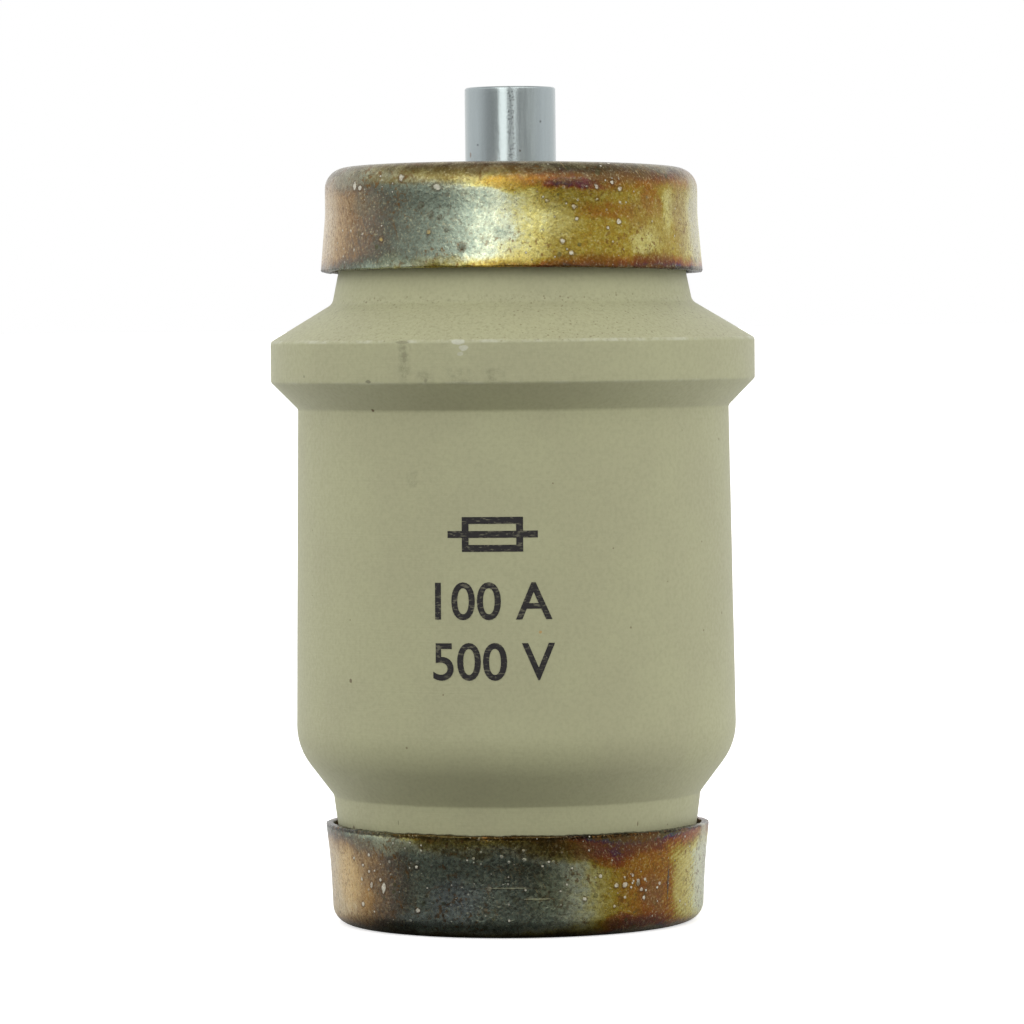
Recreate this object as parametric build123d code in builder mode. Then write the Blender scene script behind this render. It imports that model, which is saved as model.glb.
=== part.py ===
from build123d import *

import os
from math import cos, radians, sin

# D IV bottle fuse-link, 100 A, built as the separate pieces that it comes apart into.
#
# The fuse-link stands on the flat face of its head cap with the contact pin upwards. The origin is
# the centre of that flat face, and +Z runs along the axis to the tip of the pin. All sizes are in
# millimetres.
#
# From the outside it is a hollow ceramic body with a collar, closed by two pressed-on metal caps.
# Inside, four notched strips run from one contact disc to the other through packed quartz sand. A
# thin wire beside them holds a sprung, coloured button back in the head cap until it melts.

# Whole fuse-link
total_length = 57.0
sheet = 0.5  # wall of the drawn caps
disc_thickness = 1.0  # contact discs under both caps
seal_thickness = 1.0  # fibre sealing discs between the contact discs and the ceramic
loose_fit = 0.1  # gap round the discs, the strips in the fibre, the guide cup and the wire

# Head cap, at the bottom
head_cap_height = 6.78
head_cap_edge = 1.25  # outer radius of the rounded edge
head_cap_low_radius = 12.68
head_cap_middle_radius = 12.81
head_cap_middle_z = 4.0
head_cap_rim_radius = 13.11
recess_depth = 0.4  # drawn recess that keeps the indicator clear of the contact face
recess_floor_radius = 4.6
recess_radius = 5.4
indicator_hole_radius = 3.0

# Foot cap, at the top
foot_crown_z = 51.55
foot_cap_edge = 1.45
foot_cap_radius = 12.72
foot_flare_z = 48.3  # below this height the skirt flares towards its rim
foot_cap_rim_radius = 13.06
foot_rim_z = 44.5
flare_blend = 8.0  # radius that blends the skirt into its flare

# Ceramic body, from the head end up
bore_radius = 9.0
bore_chamfer = 0.5
body_bottom_z = sheet + disc_thickness + seal_thickness
body_top_z = foot_crown_z - sheet - disc_thickness - seal_thickness
spigot_chamfer = 0.4
head_spigot_radius = 12.17  # band that the head cap is pressed over
head_spigot_top_z = 4.4
head_relief_radius = 12.04
low_neck_radius = 12.57
low_neck_z = 8.8
shoulder_radius = 15.06  # where the lower cone would meet the body without its rounding
shoulder_z = 12.1
shoulder_round = 4.4
body_high_radius = 14.73
body_high_z = 35.2
collar_radius = 16.55
collar_low_z = 37.15
collar_high_z = 39.8
neck_radius = 12.3
neck_z = 42.35
groove_radius = 11.8  # groove under the rim of the foot cap
groove_z = 44.8
foot_spigot_radius = 12.2  # band that the foot cap is pressed over
foot_spigot_z = 46.6
edge_round = 0.22  # outer edges of the collar
inner_round = 0.4  # inner corners of the ceramic

# Contact pin, riveted through the foot cap and its contact disc
pin_radius = 3.1
pin_chamfer = 0.15
tenon_radius = 2.0
washer_thickness = 0.5
washer_radius = 3.9
rivet_head_radius = 3.0
rivet_clearance = 0.05
rivet_round = 0.3
foot_hole_radius = tenon_radius + rivet_clearance
foot_seal_hole_radius = 4.2

# Fuse strips
strip_count = 4
strip_circle = 7.2  # distance of each strip from the axis
strip_width = 5.0
strip_thickness = 0.2
strip_wave = 0.5  # how far the strip bends in and out along its length
flat_half = 4.0  # half the length of the flat middle of a strip
bend_heights = (3.0, 9.0, 15.0, 18.0)  # of the bends beyond each end of the flat middle
strip_inset = 0.3  # depth of solder behind each end of a strip
notch_radius = 0.55
notch_pitch = 1.6
notches_in_row = 3
notch_rows = (11.0, 17.0, 34.6, 40.6)
solder_spot_radius = 1.1
solder_spot_height = 0.5
solder_spot_round = 0.35
solder_gap = 0.25  # solder on each side of a strip in its slot

# Indicator
button_radius = 2.7
button_face_z = 0.35
button_thickness = 0.8
button_chamfer = 0.1
stem_radius = 0.8
stem_top_z = 3.2
wire_radius = 0.15
wire_grip = 1.0  # length of wire held in the stem
wire_break_z = 7.4  # where the wire melts through
wire_bend_z = 40.0
wire_offset = 5.2  # distance from the axis at which the wire reaches the foot contact disc
wire_straight_z = 46.0
wire_bend_radius = 3.0
wire_angle = 45.0
wire_solder_radius = 0.5
guide_sheet = 0.3
guide_flange_radius = 4.7
guide_end_z = 6.4
guide_hole_radius = 0.45
spring_wire_radius = 0.16
spring_mean_radius = 1.9
spring_turns = 5.0
spring_gap = 0.03  # clear space left at each end of the spring

# Heights worked out from the above
head_disc_z = sheet
head_seal_z = head_disc_z + disc_thickness
foot_seal_z = body_top_z
foot_disc_z = foot_seal_z + seal_thickness
foot_disc_top_z = foot_disc_z + disc_thickness
strip_bottom_z = head_disc_z + strip_inset
strip_top_z = foot_disc_top_z - strip_inset
strip_middle_z = (strip_bottom_z + strip_top_z) / 2
flat_top_z = strip_middle_z + flat_half
guide_flange_z = sheet + recess_depth
guide_radius = indicator_hole_radius + guide_sheet
button_back_z = button_face_z + button_thickness
rivet_head_z = foot_disc_z - washer_thickness
wire_x = wire_offset * cos(radians(wire_angle))
wire_y = wire_offset * sin(radians(wire_angle))


def corner(sketch, radius, height):
    """The vertex of a profile that lies nearest to a radius and a height."""
    return sketch.vertices().sort_by_distance((radius, height))[0]


def strip_side(index):
    """The plane through the axis and the middle of one strip, with its X pointing outwards."""
    return Plane.XZ.rotated((0, 0, 360 / strip_count * index))


def strip_face(index, distance):
    """The plane at a distance from the axis that faces outwards along one strip's radius."""
    outwards = strip_side(index).x_dir
    return Plane(origin=outwards * distance, x_dir=Vector(0, 0, 1).cross(outwards), z_dir=outwards)


def strip_slots(gap, mode=Mode.ADD):
    """In a horizontal sketch, the outlines of the strips with a gap all round each of them."""
    with PolarLocations(strip_circle, strip_count):
        Rectangle(strip_thickness + 2 * gap, strip_width + 2 * gap, mode=mode)


# Ceramic body: a turned shell with a collar, a neck and a spigot at each end
with BuildPart() as ceramic_body:
    with BuildSketch(Plane.XZ) as body_profile:
        with BuildLine():
            Polyline(
                (bore_radius + bore_chamfer, body_bottom_z),
                (head_spigot_radius - spigot_chamfer, body_bottom_z),
                (head_spigot_radius, body_bottom_z + spigot_chamfer),
                (head_spigot_radius, head_spigot_top_z),
                (head_relief_radius, head_spigot_top_z + spigot_chamfer),
                (low_neck_radius, low_neck_z),
                (shoulder_radius, shoulder_z),
                (body_high_radius, body_high_z),
                (collar_radius, collar_low_z),
                (collar_radius, collar_high_z),
                (neck_radius, neck_z),
                (groove_radius, groove_z),
                (foot_spigot_radius, foot_spigot_z),
                (foot_spigot_radius, body_top_z - spigot_chamfer),
                (foot_spigot_radius - spigot_chamfer, body_top_z),
                (bore_radius + bore_chamfer, body_top_z),
                (bore_radius, body_top_z - bore_chamfer),
                (bore_radius, body_bottom_z + bore_chamfer),
                close=True,
            )
        make_face()
        fillet(corner(body_profile, shoulder_radius, shoulder_z), shoulder_round)
        fillet(
            [
                corner(body_profile, collar_radius, collar_low_z),
                corner(body_profile, collar_radius, collar_high_z),
            ],
            edge_round,
        )
        fillet(
            [
                corner(body_profile, low_neck_radius, low_neck_z),
                corner(body_profile, body_high_radius, body_high_z),
                corner(body_profile, neck_radius, neck_z),
                corner(body_profile, groove_radius, groove_z),
            ],
            inner_round,
        )
    revolve(axis=Axis.Z)
ceramic_body.part.label = "ceramic_body"

# Head cap: a drawn cup that flares towards its rim, with a recessed hole for the indicator
with BuildPart() as head_cap:
    with BuildSketch(Plane.XZ):
        with BuildLine():
            Polyline(
                (indicator_hole_radius, recess_depth),
                (recess_floor_radius, recess_depth),
                (recess_radius, 0),
                (head_cap_low_radius - head_cap_edge, 0),
            )
            RadiusArc(
                (head_cap_low_radius - head_cap_edge, 0),
                (head_cap_low_radius, head_cap_edge),
                -head_cap_edge,
            )
            ThreePointArc(
                (head_cap_low_radius, head_cap_edge),
                (head_cap_middle_radius, head_cap_middle_z),
                (head_cap_rim_radius, head_cap_height),
            )
            offset(amount=sheet, side=Side.LEFT)
        make_face()
    revolve(axis=Axis.Z)
head_cap.part.label = "head_cap"

# Foot cap: the same kind of cup, upside down, with a hole for the tenon of the contact pin
with BuildPart() as foot_cap:
    with BuildSketch(Plane.XZ):
        with BuildLine():
            FilletPolyline(
                (foot_hole_radius, foot_crown_z),
                (foot_cap_radius, foot_crown_z),
                (foot_cap_radius, foot_flare_z),
                (foot_cap_rim_radius, foot_rim_z),
                radius=(foot_cap_edge, flare_blend),
            )
            offset(amount=sheet, side=Side.RIGHT)
        make_face()
    revolve(axis=Axis.Z)
foot_cap.part.label = "foot_cap"

# Contact pin: it stands on the crown of the foot cap, and its tenon is riveted over inside
with BuildPart() as contact_pin:
    with BuildSketch(Plane.XY.offset(foot_crown_z)):
        Circle(pin_radius)
    extrude(amount=total_length - foot_crown_z)
    chamfer(contact_pin.edges().sort_by(Axis.Z)[-1], pin_chamfer)
    with BuildSketch(Plane.XY.offset(rivet_head_z)):
        Circle(tenon_radius)
    extrude(amount=foot_crown_z - rivet_head_z)
    with BuildSketch(Plane.XY.offset(foot_seal_z)):
        Circle(rivet_head_radius)
    extrude(amount=rivet_head_z - foot_seal_z)
    fillet(contact_pin.edges().sort_by(Axis.Z)[0], rivet_round)
contact_pin.part.label = "contact_pin"

with BuildPart() as pin_washer:
    with BuildSketch(Plane.XY.offset(rivet_head_z)):
        Circle(washer_radius)
        Circle(foot_hole_radius, mode=Mode.SUBTRACT)
    extrude(amount=washer_thickness)
pin_washer.part.label = "pin_washer"

# Contact discs: the strips end in their slots, soldered in
with BuildPart() as head_contact_disc:
    with BuildSketch(Plane.XY.offset(head_disc_z)):
        Circle(head_cap_low_radius - head_cap_edge - loose_fit)
        Circle(guide_radius + loose_fit, mode=Mode.SUBTRACT)
        strip_slots(solder_gap, Mode.SUBTRACT)
    extrude(amount=disc_thickness)
    with BuildSketch(Plane.XY.offset(head_disc_z)):
        Circle(recess_radius + sheet)
    extrude(amount=recess_depth, mode=Mode.SUBTRACT)
    with BuildSketch(Plane.XY.offset(guide_flange_z)):
        Circle(guide_flange_radius + loose_fit)
    extrude(amount=guide_sheet, mode=Mode.SUBTRACT)
head_contact_disc.part.label = "head_contact_disc"

with BuildPart() as foot_contact_disc:
    with BuildSketch(Plane.XY.offset(foot_disc_z)):
        Circle(foot_cap_radius - foot_cap_edge - loose_fit)
        Circle(foot_hole_radius, mode=Mode.SUBTRACT)
        strip_slots(solder_gap, Mode.SUBTRACT)
        with Locations((wire_x, wire_y)):
            Circle(wire_solder_radius, mode=Mode.SUBTRACT)
    extrude(amount=disc_thickness)
foot_contact_disc.part.label = "foot_contact_disc"

# Sealing discs: fibre washers that keep the sand in
with BuildPart() as head_sealing_disc:
    with BuildSketch(Plane.XY.offset(head_seal_z)):
        Circle(head_spigot_radius - spigot_chamfer)
        Circle(guide_radius + loose_fit, mode=Mode.SUBTRACT)
        strip_slots(loose_fit, Mode.SUBTRACT)
    extrude(amount=seal_thickness)
head_sealing_disc.part.label = "head_sealing_disc"

with BuildPart() as foot_sealing_disc:
    with BuildSketch(Plane.XY.offset(foot_seal_z)):
        Circle(foot_spigot_radius - spigot_chamfer)
        Circle(foot_seal_hole_radius, mode=Mode.SUBTRACT)
        strip_slots(loose_fit, Mode.SUBTRACT)
        with Locations((wire_x, wire_y)):
            Circle(wire_radius + loose_fit, mode=Mode.SUBTRACT)
    extrude(amount=seal_thickness)
foot_sealing_disc.part.label = "foot_sealing_disc"

# Fuse strips: waved copper strips with rows of punched notches and a flat middle for the solder spot
fuse_strips = []
overload_spots = []
for index in range(strip_count):
    upper_bends = [
        (strip_circle, flat_top_z),
        (strip_circle + strip_wave, flat_top_z + bend_heights[0]),
        (strip_circle - strip_wave, flat_top_z + bend_heights[1]),
        (strip_circle + strip_wave, flat_top_z + bend_heights[2]),
        (strip_circle, flat_top_z + bend_heights[3]),
        (strip_circle, strip_top_z),
    ]
    lower_bends = [(r, 2 * strip_middle_z - z) for r, z in reversed(upper_bends)]
    with BuildPart() as strip:
        with BuildSketch(strip_side(index)):
            with BuildLine():
                Polyline(*lower_bends, *upper_bends)
            trace(line_width=strip_thickness)
        extrude(amount=strip_width / 2, both=True)
        with BuildSketch(strip_face(index, 0)):
            for row_z in notch_rows:
                with Locations((0, row_z)):
                    with GridLocations(notch_pitch, 0, notches_in_row, 1):
                        Circle(notch_radius)
        extrude(amount=bore_radius, mode=Mode.SUBTRACT)
    strip.part.label = f"fuse_strip_{index + 1}"
    fuse_strips.append(strip)

    with BuildPart() as spot:
        with BuildSketch(strip_face(index, strip_circle + strip_thickness / 2)):
            with Locations((0, strip_middle_z)):
                Circle(solder_spot_radius)
        extrude(amount=solder_spot_height)
        rims = spot.edges().filter_by(GeomType.CIRCLE).sort_by_distance((0, 0, strip_middle_z))
        fillet(rims[-1], solder_spot_round)
    spot.part.label = f"overload_solder_spot_{index + 1}"
    overload_spots.append(spot)

# Solder that fills the slots of both contact discs round the ends of the strips
solder_joints = []
for end, disc_z in (("head", head_disc_z), ("foot", foot_disc_z)):
    with BuildPart() as joints:
        with BuildSketch(Plane.XY.offset(disc_z)):
            strip_slots(solder_gap)
        extrude(amount=disc_thickness)
        add([strip.part for strip in fuse_strips], mode=Mode.SUBTRACT)
    joints.part.label = f"{end}_solder_joints"
    solder_joints.append(joints)

# Indicator wire: from the foot contact disc down the axis to where it melts through
with BuildPart() as indicator_wire:
    with BuildLine():
        FilletPolyline(
            (0, 0, wire_break_z + loose_fit),
            (0, 0, wire_bend_z),
            (wire_x, wire_y, wire_straight_z),
            (wire_x, wire_y, foot_disc_top_z),
            radius=wire_bend_radius,
        )
    with BuildSketch(Plane.XY.offset(wire_break_z + loose_fit)):
        Circle(wire_radius)
    sweep()
indicator_wire.part.label = "indicator_wire"

with BuildPart() as wire_solder_joint:
    with BuildSketch(Plane.XY.offset(foot_disc_z)):
        with Locations((wire_x, wire_y)):
            Circle(wire_solder_radius)
            Circle(wire_radius, mode=Mode.SUBTRACT)
    extrude(amount=disc_thickness)
wire_solder_joint.part.label = "wire_solder_joint"

# Length of the same wire that stays with the button
with BuildPart() as indicator_wire_end:
    with BuildSketch(Plane.XY.offset(stem_top_z - wire_grip)):
        Circle(wire_radius)
    extrude(amount=wire_break_z - stem_top_z + wire_grip)
indicator_wire_end.part.label = "indicator_wire_end"

# Indicator button: a coloured disc with a stem that grips the wire
with BuildPart() as indicator_button:
    with BuildSketch(Plane.XY.offset(button_face_z)):
        Circle(button_radius)
    extrude(amount=button_thickness)
    chamfer(indicator_button.edges().sort_by(Axis.Z)[0], button_chamfer)
    with BuildSketch(Plane.XY.offset(button_back_z)):
        Circle(stem_radius)
    extrude(amount=stem_top_z - button_back_z)
    with BuildSketch(Plane.XY.offset(stem_top_z)):
        Circle(wire_radius)
    extrude(amount=-wire_grip, mode=Mode.SUBTRACT)
indicator_button.part.label = "indicator_button"

# Guide cup: holds the spring behind the button, closed at its inner end but for the wire
with BuildPart() as indicator_guide_cup:
    with BuildSketch(Plane.XZ):
        with BuildLine():
            Polyline(
                (guide_flange_radius, guide_flange_z + guide_sheet),
                (guide_radius, guide_flange_z + guide_sheet),
                (guide_radius, guide_end_z),
                (guide_hole_radius, guide_end_z),
                (guide_hole_radius, guide_end_z - guide_sheet),
                (indicator_hole_radius, guide_end_z - guide_sheet),
                (indicator_hole_radius, guide_flange_z),
                (guide_flange_radius, guide_flange_z),
                close=True,
            )
        make_face()
    revolve(axis=Axis.Z)
indicator_guide_cup.part.label = "indicator_guide_cup"

# Spring: pushes the button out through the head cap once the wire has gone
spring_bottom_z = button_back_z + spring_gap + spring_wire_radius
spring_height = guide_end_z - guide_sheet - spring_gap - spring_wire_radius - spring_bottom_z
with BuildPart() as indicator_spring:
    with BuildLine() as coil:
        Helix(
            pitch=spring_height / spring_turns,
            height=spring_height,
            radius=spring_mean_radius,
            center=(0, 0, spring_bottom_z),
        )
    with BuildSketch(Plane(coil.line @ 0, z_dir=coil.line % 0)):
        Circle(spring_wire_radius)
    sweep(path=coil.line, is_frenet=True)
indicator_spring.part.label = "indicator_spring"

# Quartz sand: packed round the strips and the wire, the whole bore full
with BuildPart() as quartz_sand:
    with BuildSketch(Plane.XY.offset(body_bottom_z)):
        Circle(bore_radius)
    extrude(amount=body_top_z - body_bottom_z)
    with BuildSketch(Plane.XY.offset(body_bottom_z)):
        Circle(guide_radius)
    extrude(amount=guide_end_z - body_bottom_z, mode=Mode.SUBTRACT)
    with BuildSketch(Plane.XY.offset(guide_end_z)):
        Circle(wire_radius + loose_fit)
    extrude(amount=wire_break_z + loose_fit - guide_end_z, mode=Mode.SUBTRACT)
    add(indicator_wire.part, mode=Mode.SUBTRACT)
    add([piece.part for piece in fuse_strips + overload_spots], mode=Mode.SUBTRACT)
quartz_sand.part.label = "quartz_sand"

pieces = [
    ceramic_body,
    head_cap,
    foot_cap,
    contact_pin,
    pin_washer,
    head_contact_disc,
    foot_contact_disc,
    head_sealing_disc,
    foot_sealing_disc,
    *fuse_strips,
    *overload_spots,
    *solder_joints,
    indicator_wire,
    wire_solder_joint,
    indicator_wire_end,
    indicator_button,
    indicator_guide_cup,
    indicator_spring,
    quartz_sand,
]
os.makedirs("parts", exist_ok=True)
for piece in pieces:
    export_step(piece.part, f"parts/{piece.part.label}.step")
    print(f"{piece.part.label}: {piece.part.volume:.2f} mm3")
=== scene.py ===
"""Bottle fuse-link: its finished surfaces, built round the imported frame.

The frame holds every piece in its place. This script replaces the outer pieces by finely modelled
ones, prints the rating on the ceramic, dresses the inner pieces, and sets up a pale studio. Lengths
in the dataclasses are millimetres, and every mesh is made in metres.
"""

import logging
import math
from dataclasses import dataclass, replace
from enum import Enum
from typing import Callable, Sequence

import bpy
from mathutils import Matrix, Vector, noise


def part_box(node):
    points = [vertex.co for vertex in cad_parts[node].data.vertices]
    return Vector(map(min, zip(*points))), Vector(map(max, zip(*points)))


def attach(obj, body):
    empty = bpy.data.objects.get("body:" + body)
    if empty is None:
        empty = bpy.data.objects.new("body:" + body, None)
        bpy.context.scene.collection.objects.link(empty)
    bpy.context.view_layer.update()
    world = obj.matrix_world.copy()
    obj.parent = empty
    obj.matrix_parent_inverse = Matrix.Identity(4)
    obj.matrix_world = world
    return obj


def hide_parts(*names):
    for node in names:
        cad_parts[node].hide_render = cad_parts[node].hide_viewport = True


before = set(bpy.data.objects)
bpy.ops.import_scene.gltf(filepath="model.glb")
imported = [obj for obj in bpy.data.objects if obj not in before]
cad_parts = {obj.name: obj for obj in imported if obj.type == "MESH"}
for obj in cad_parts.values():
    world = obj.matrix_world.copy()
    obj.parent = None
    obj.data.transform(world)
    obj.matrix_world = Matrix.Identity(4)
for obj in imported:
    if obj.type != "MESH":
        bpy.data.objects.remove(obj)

MM = 0.001
FULL_TURN = 2 * math.pi
ARC_STEP_DEGREES = 7
SKIRT_RADIUS = 12.8
FUSE_BODY = "fuse"
INDICATOR_BODY = "indicator"
LOG = logging.getLogger("fuse_link")

Colour = tuple[float, float, float]
Socket = bpy.types.NodeSocket


def from_srgb(red: int, green: int, blue: int) -> Colour:
    """Turn a colour of 0 to 255 per channel into linear light.

    Args:
        red: red channel, 0 to 255.
        green: green channel, 0 to 255.
        blue: blue channel, 0 to 255.

    Returns:
        The colour in linear light, 0 to 1 per channel.
    """
    def linear(value: float) -> float:
        """Undo the display curve of one channel."""
        return value / 12.92 if value <= 0.04045 else ((value + 0.055) / 1.055) ** 2.4

    return linear(red / 255), linear(green / 255), linear(blue / 255)


# --- Shader graphs --------------------------------------------------------------------------------


class Graph:
    """A node tree being built: a thin layer that adds nodes and joins them."""

    def __init__(self, tree: bpy.types.NodeTree) -> None:
        """Start on a tree.

        Args:
            tree: the tree that new nodes go into.
        """
        self.tree = tree

    def add(self, kind: str, **settings: object) -> bpy.types.Node:
        """Add a node and set its properties.

        Args:
            kind: the node's type name.
            settings: properties of the node and their values.

        Returns:
            The new node.
        """
        node = self.tree.nodes.new(kind)
        for name, value in settings.items():
            setattr(node, name, value)
        return node

    def feed(self, socket: Socket, value: object) -> None:
        """Join a value to an input socket, or set the socket to it.

        Args:
            socket: the input.
            value: an output socket, a number or a tuple.
        """
        if isinstance(value, bpy.types.NodeSocket):
            self.tree.links.new(value, socket)
        elif isinstance(value, tuple) and socket.type == "RGBA":
            socket.default_value = (*value[:3], 1.0)
        else:
            socket.default_value = value

    def math(self, operation: str, *values: object, clamp: bool = False) -> Socket:
        """Do a sum on one to three numbers.

        Args:
            operation: name of the operation.
            values: the numbers or sockets.
            clamp: whether the result is kept within 0 and 1.

        Returns:
            The result.
        """
        node = self.add("ShaderNodeMath", operation=operation, use_clamp=clamp)
        for socket, value in zip(node.inputs, values):
            self.feed(socket, value)
        return node.outputs[0]

    def times(self, first: object, *others: object) -> Socket:
        """Multiply numbers or sockets in order."""
        for other in others:
            first = self.math("MULTIPLY", first, other)
        return first

    def range(self, value: object, low: float, high: float, to_low: float = 0.0,
              to_high: float = 1.0, smooth: bool = True) -> Socket:
        """Map a range of a value onto another range.

        Args:
            value: the value.
            low: the value that maps to to_low.
            high: the value that maps to to_high.
            to_low: result at low.
            to_high: result at high.
            smooth: whether the ends are eased.

        Returns:
            The mapped value, kept within the new range.
        """
        node = self.add("ShaderNodeMapRange",
                        interpolation_type="SMOOTHSTEP" if smooth else "LINEAR")
        for name, number in (("Value", value), ("From Min", low), ("From Max", high),
                             ("To Min", to_low), ("To Max", to_high)):
            self.feed(node.inputs[name], number)
        return node.outputs[0]

    def noise(self, vector: Socket, scale: float, detail: float = 2.0, roughness: float = 0.5,
              distortion: float = 0.0) -> Socket:
        """Add cloudy noise.

        Args:
            vector: where it is read.
            scale: cells per unit of the vector.
            detail: number of finer layers.
            roughness: strength of the finer layers.
            distortion: how far it is stirred.

        Returns:
            A value about 0.5.
        """
        node = self.add("ShaderNodeTexNoise")
        self.feed(node.inputs["Vector"], vector)
        node.inputs["Scale"].default_value = scale
        node.inputs["Detail"].default_value = detail
        node.inputs["Roughness"].default_value = roughness
        node.inputs["Distortion"].default_value = distortion
        return node.outputs["Fac"]

    def mix(self, factor: object, first: object, second: object, blend: str = "MIX") -> Socket:
        """Mix two colours.

        Args:
            factor: share of the second colour.
            first: first colour.
            second: second colour.
            blend: name of the way of mixing.

        Returns:
            The mixed colour.
        """
        node = self.add("ShaderNodeMix", data_type="RGBA", blend_type=blend)
        self.feed(node.inputs[0], factor)
        self.feed(node.inputs[6], first)
        self.feed(node.inputs[7], second)
        return node.outputs[2]

    def ramp(self, value: object, stops: Sequence[tuple[float, Colour]],
             interpolation: str = "LINEAR") -> Socket:
        """Turn a value into a colour.

        Args:
            value: position on the ramp.
            stops: positions, 0 to 1, and their colours.
            interpolation: how colours run between stops.

        Returns:
            The colour.
        """
        node = self.add("ShaderNodeValToRGB")
        node.color_ramp.interpolation = interpolation
        elements = node.color_ramp.elements
        while len(elements) < len(stops):
            elements.new(0.5)
        for element, (position, colour) in zip(elements, stops):
            element.position = position
            element.color = (*colour, 1.0)
        self.feed(node.inputs[0], value)
        return node.outputs[0]

    def curve(self, value: object, points: Sequence[tuple[float, float]]) -> Socket:
        """Read a curve drawn through given points.

        Args:
            value: position along the curve, 0 to 1.
            points: positions and heights, both 0 to 1, in order.

        Returns:
            The height of the curve there.
        """
        node = self.add("ShaderNodeFloatCurve")
        line = node.mapping.curves[0]
        while len(line.points) < len(points):
            line.points.new(0.5, 0.5)
        for point, place in zip(line.points, points):
            point.location = place
        node.mapping.update()
        self.feed(node.inputs["Value"], value)
        return node.outputs[0]

    def bump(self, height: Socket, depth: float, strength: float = 1.0,
             under: Socket | None = None) -> Socket:
        """Turn a height into a tilted normal.

        Args:
            height: height over the surface, 0 to 1.
            depth: real depth of a height of 1, in millimetres.
            strength: share of the effect.
            under: normal that this one is laid over.

        Returns:
            The normal.
        """
        node = self.add("ShaderNodeBump")
        node.inputs["Distance"].default_value = depth * MM
        node.inputs["Strength"].default_value = strength
        self.feed(node.inputs["Height"], height)
        if under is not None:
            self.feed(node.inputs["Normal"], under)
        return node.outputs[0]

    def group(self, tree: bpy.types.NodeTree, **values: object) -> dict[str, Socket]:
        """Place a node group.

        Args:
            tree: the group.
            values: its inputs by name, with spaces written as underscores.

        Returns:
            Its outputs by name.
        """
        node = self.add("ShaderNodeGroup")
        node.node_tree = tree
        for name, value in values.items():
            self.feed(node.inputs[name.replace("_", " ")], value)
        return {socket.name: socket for socket in node.outputs}


class Effect:
    """A shader node group under construction, with named inputs and outputs."""

    def __init__(self, name: str) -> None:
        """Start the group.

        Args:
            name: name of the group.
        """
        self.tree = bpy.data.node_groups.new(name, "ShaderNodeTree")
        self.graph = Graph(self.tree)
        self.entry = self.graph.add("NodeGroupInput")
        self.exit = self.graph.add("NodeGroupOutput")

    def take(self, name: str, kind: str = "NodeSocketFloat", default: float = 0.0) -> Socket:
        """Declare an input.

        Args:
            name: name of the input.
            kind: type of the socket.
            default: value of a number input that nothing feeds.

        Returns:
            The value inside the group.
        """
        socket = self.tree.interface.new_socket(name, in_out="INPUT", socket_type=kind)
        if kind == "NodeSocketFloat":
            socket.default_value = default
        return self.entry.outputs[name]

    def give(self, name: str, value: Socket, kind: str = "NodeSocketFloat") -> None:
        """Declare an output and feed it.

        Args:
            name: name of the output.
            value: the value that leaves the group.
            kind: type of the socket.
        """
        self.tree.interface.new_socket(name, in_out="OUTPUT", socket_type=kind)
        self.graph.feed(self.exit.inputs[name], value)


class Coat(Graph):
    """A finish being built on a Principled shader, with the colour that it has so far."""

    def __init__(self, name: str) -> None:
        """Start a material.

        Args:
            name: name of the material.
        """
        self.material = bpy.data.materials.new(name)
        self.material.use_nodes = True
        super().__init__(self.material.node_tree)
        self.shader = self.tree.nodes["Principled BSDF"]
        self.place = self.add("ShaderNodeTexCoord").outputs["Object"]
        self.colour: object = (0.0, 0.0, 0.0)

    def lay(self, cover: object, colour: object, blend: str = "MIX") -> None:
        """Lay another colour over the colour so far.

        Args:
            cover: how much of it shows, 0 to 1.
            colour: the other colour.
            blend: name of the way of mixing.
        """
        self.colour = self.mix(cover, self.colour, colour, blend)

    def set(self, **values: object) -> None:
        """Feed the shader's inputs by name, with spaces written as underscores."""
        for name, value in values.items():
            self.feed(self.shader.inputs[name.replace("_", " ")], value)


def new_piece(name: str) -> bpy.types.Object:
    """Start a mesh at the origin as a single point, in edit mode with that point selected.

    Args:
        name: name of the new piece.

    Returns:
        The object, which is active and in edit mode.
    """
    bpy.ops.object.select_all(action="DESELECT")
    bpy.ops.mesh.primitive_plane_add(size=MM)
    piece = bpy.context.object
    piece.name = piece.data.name = name
    bpy.ops.object.mode_set(mode="EDIT")
    bpy.ops.mesh.select_all(action="SELECT")
    bpy.ops.mesh.merge(type="CENTER")
    return piece


# --- Turned outlines ------------------------------------------------------------------------------


@dataclass(frozen=True)
class Corner:
    """A corner of a turned outline, in millimetres."""

    radius: float
    height: float
    rounding: float = 0.0


def outline_points(corners: Sequence[Corner], spacing: float) -> list[Vector]:
    """Round the corners of an outline and divide its runs.

    Args:
        corners: corners in order.
        spacing: longest step along a straight run, in millimetres.

    Returns:
        Points with the radius as X and the height as Z, in millimetres.
    """
    places = [Vector((corner.radius, 0, corner.height)) for corner in corners]
    marks: list[Vector] = []
    for index, corner in enumerate(corners):
        here = places[index]
        if corner.rounding == 0 or index in (0, len(corners) - 1):
            marks.append(here)
            continue
        back = (places[index - 1] - here).normalized()
        onward = (places[index + 1] - here).normalized()
        half = back.angle(onward) / 2
        reach = corner.rounding / math.tan(half)
        centre = here + (back + onward).normalized() * corner.rounding / math.sin(half)
        start = (here + back * reach - centre).normalized()
        end = (here + onward * reach - centre).normalized()
        steps = max(2, math.ceil(math.degrees(start.angle(end)) / ARC_STEP_DEGREES))
        for step in range(steps + 1):
            marks.append(centre + start.slerp(end, step / steps) * corner.rounding)
    points = [marks[0]]
    for mark in marks[1:]:
        pieces = max(1, math.ceil((mark - points[-1]).length / spacing))
        previous = points[-1]
        points += [previous.lerp(mark, (n + 1) / pieces) for n in range(pieces)]
    return points


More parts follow.
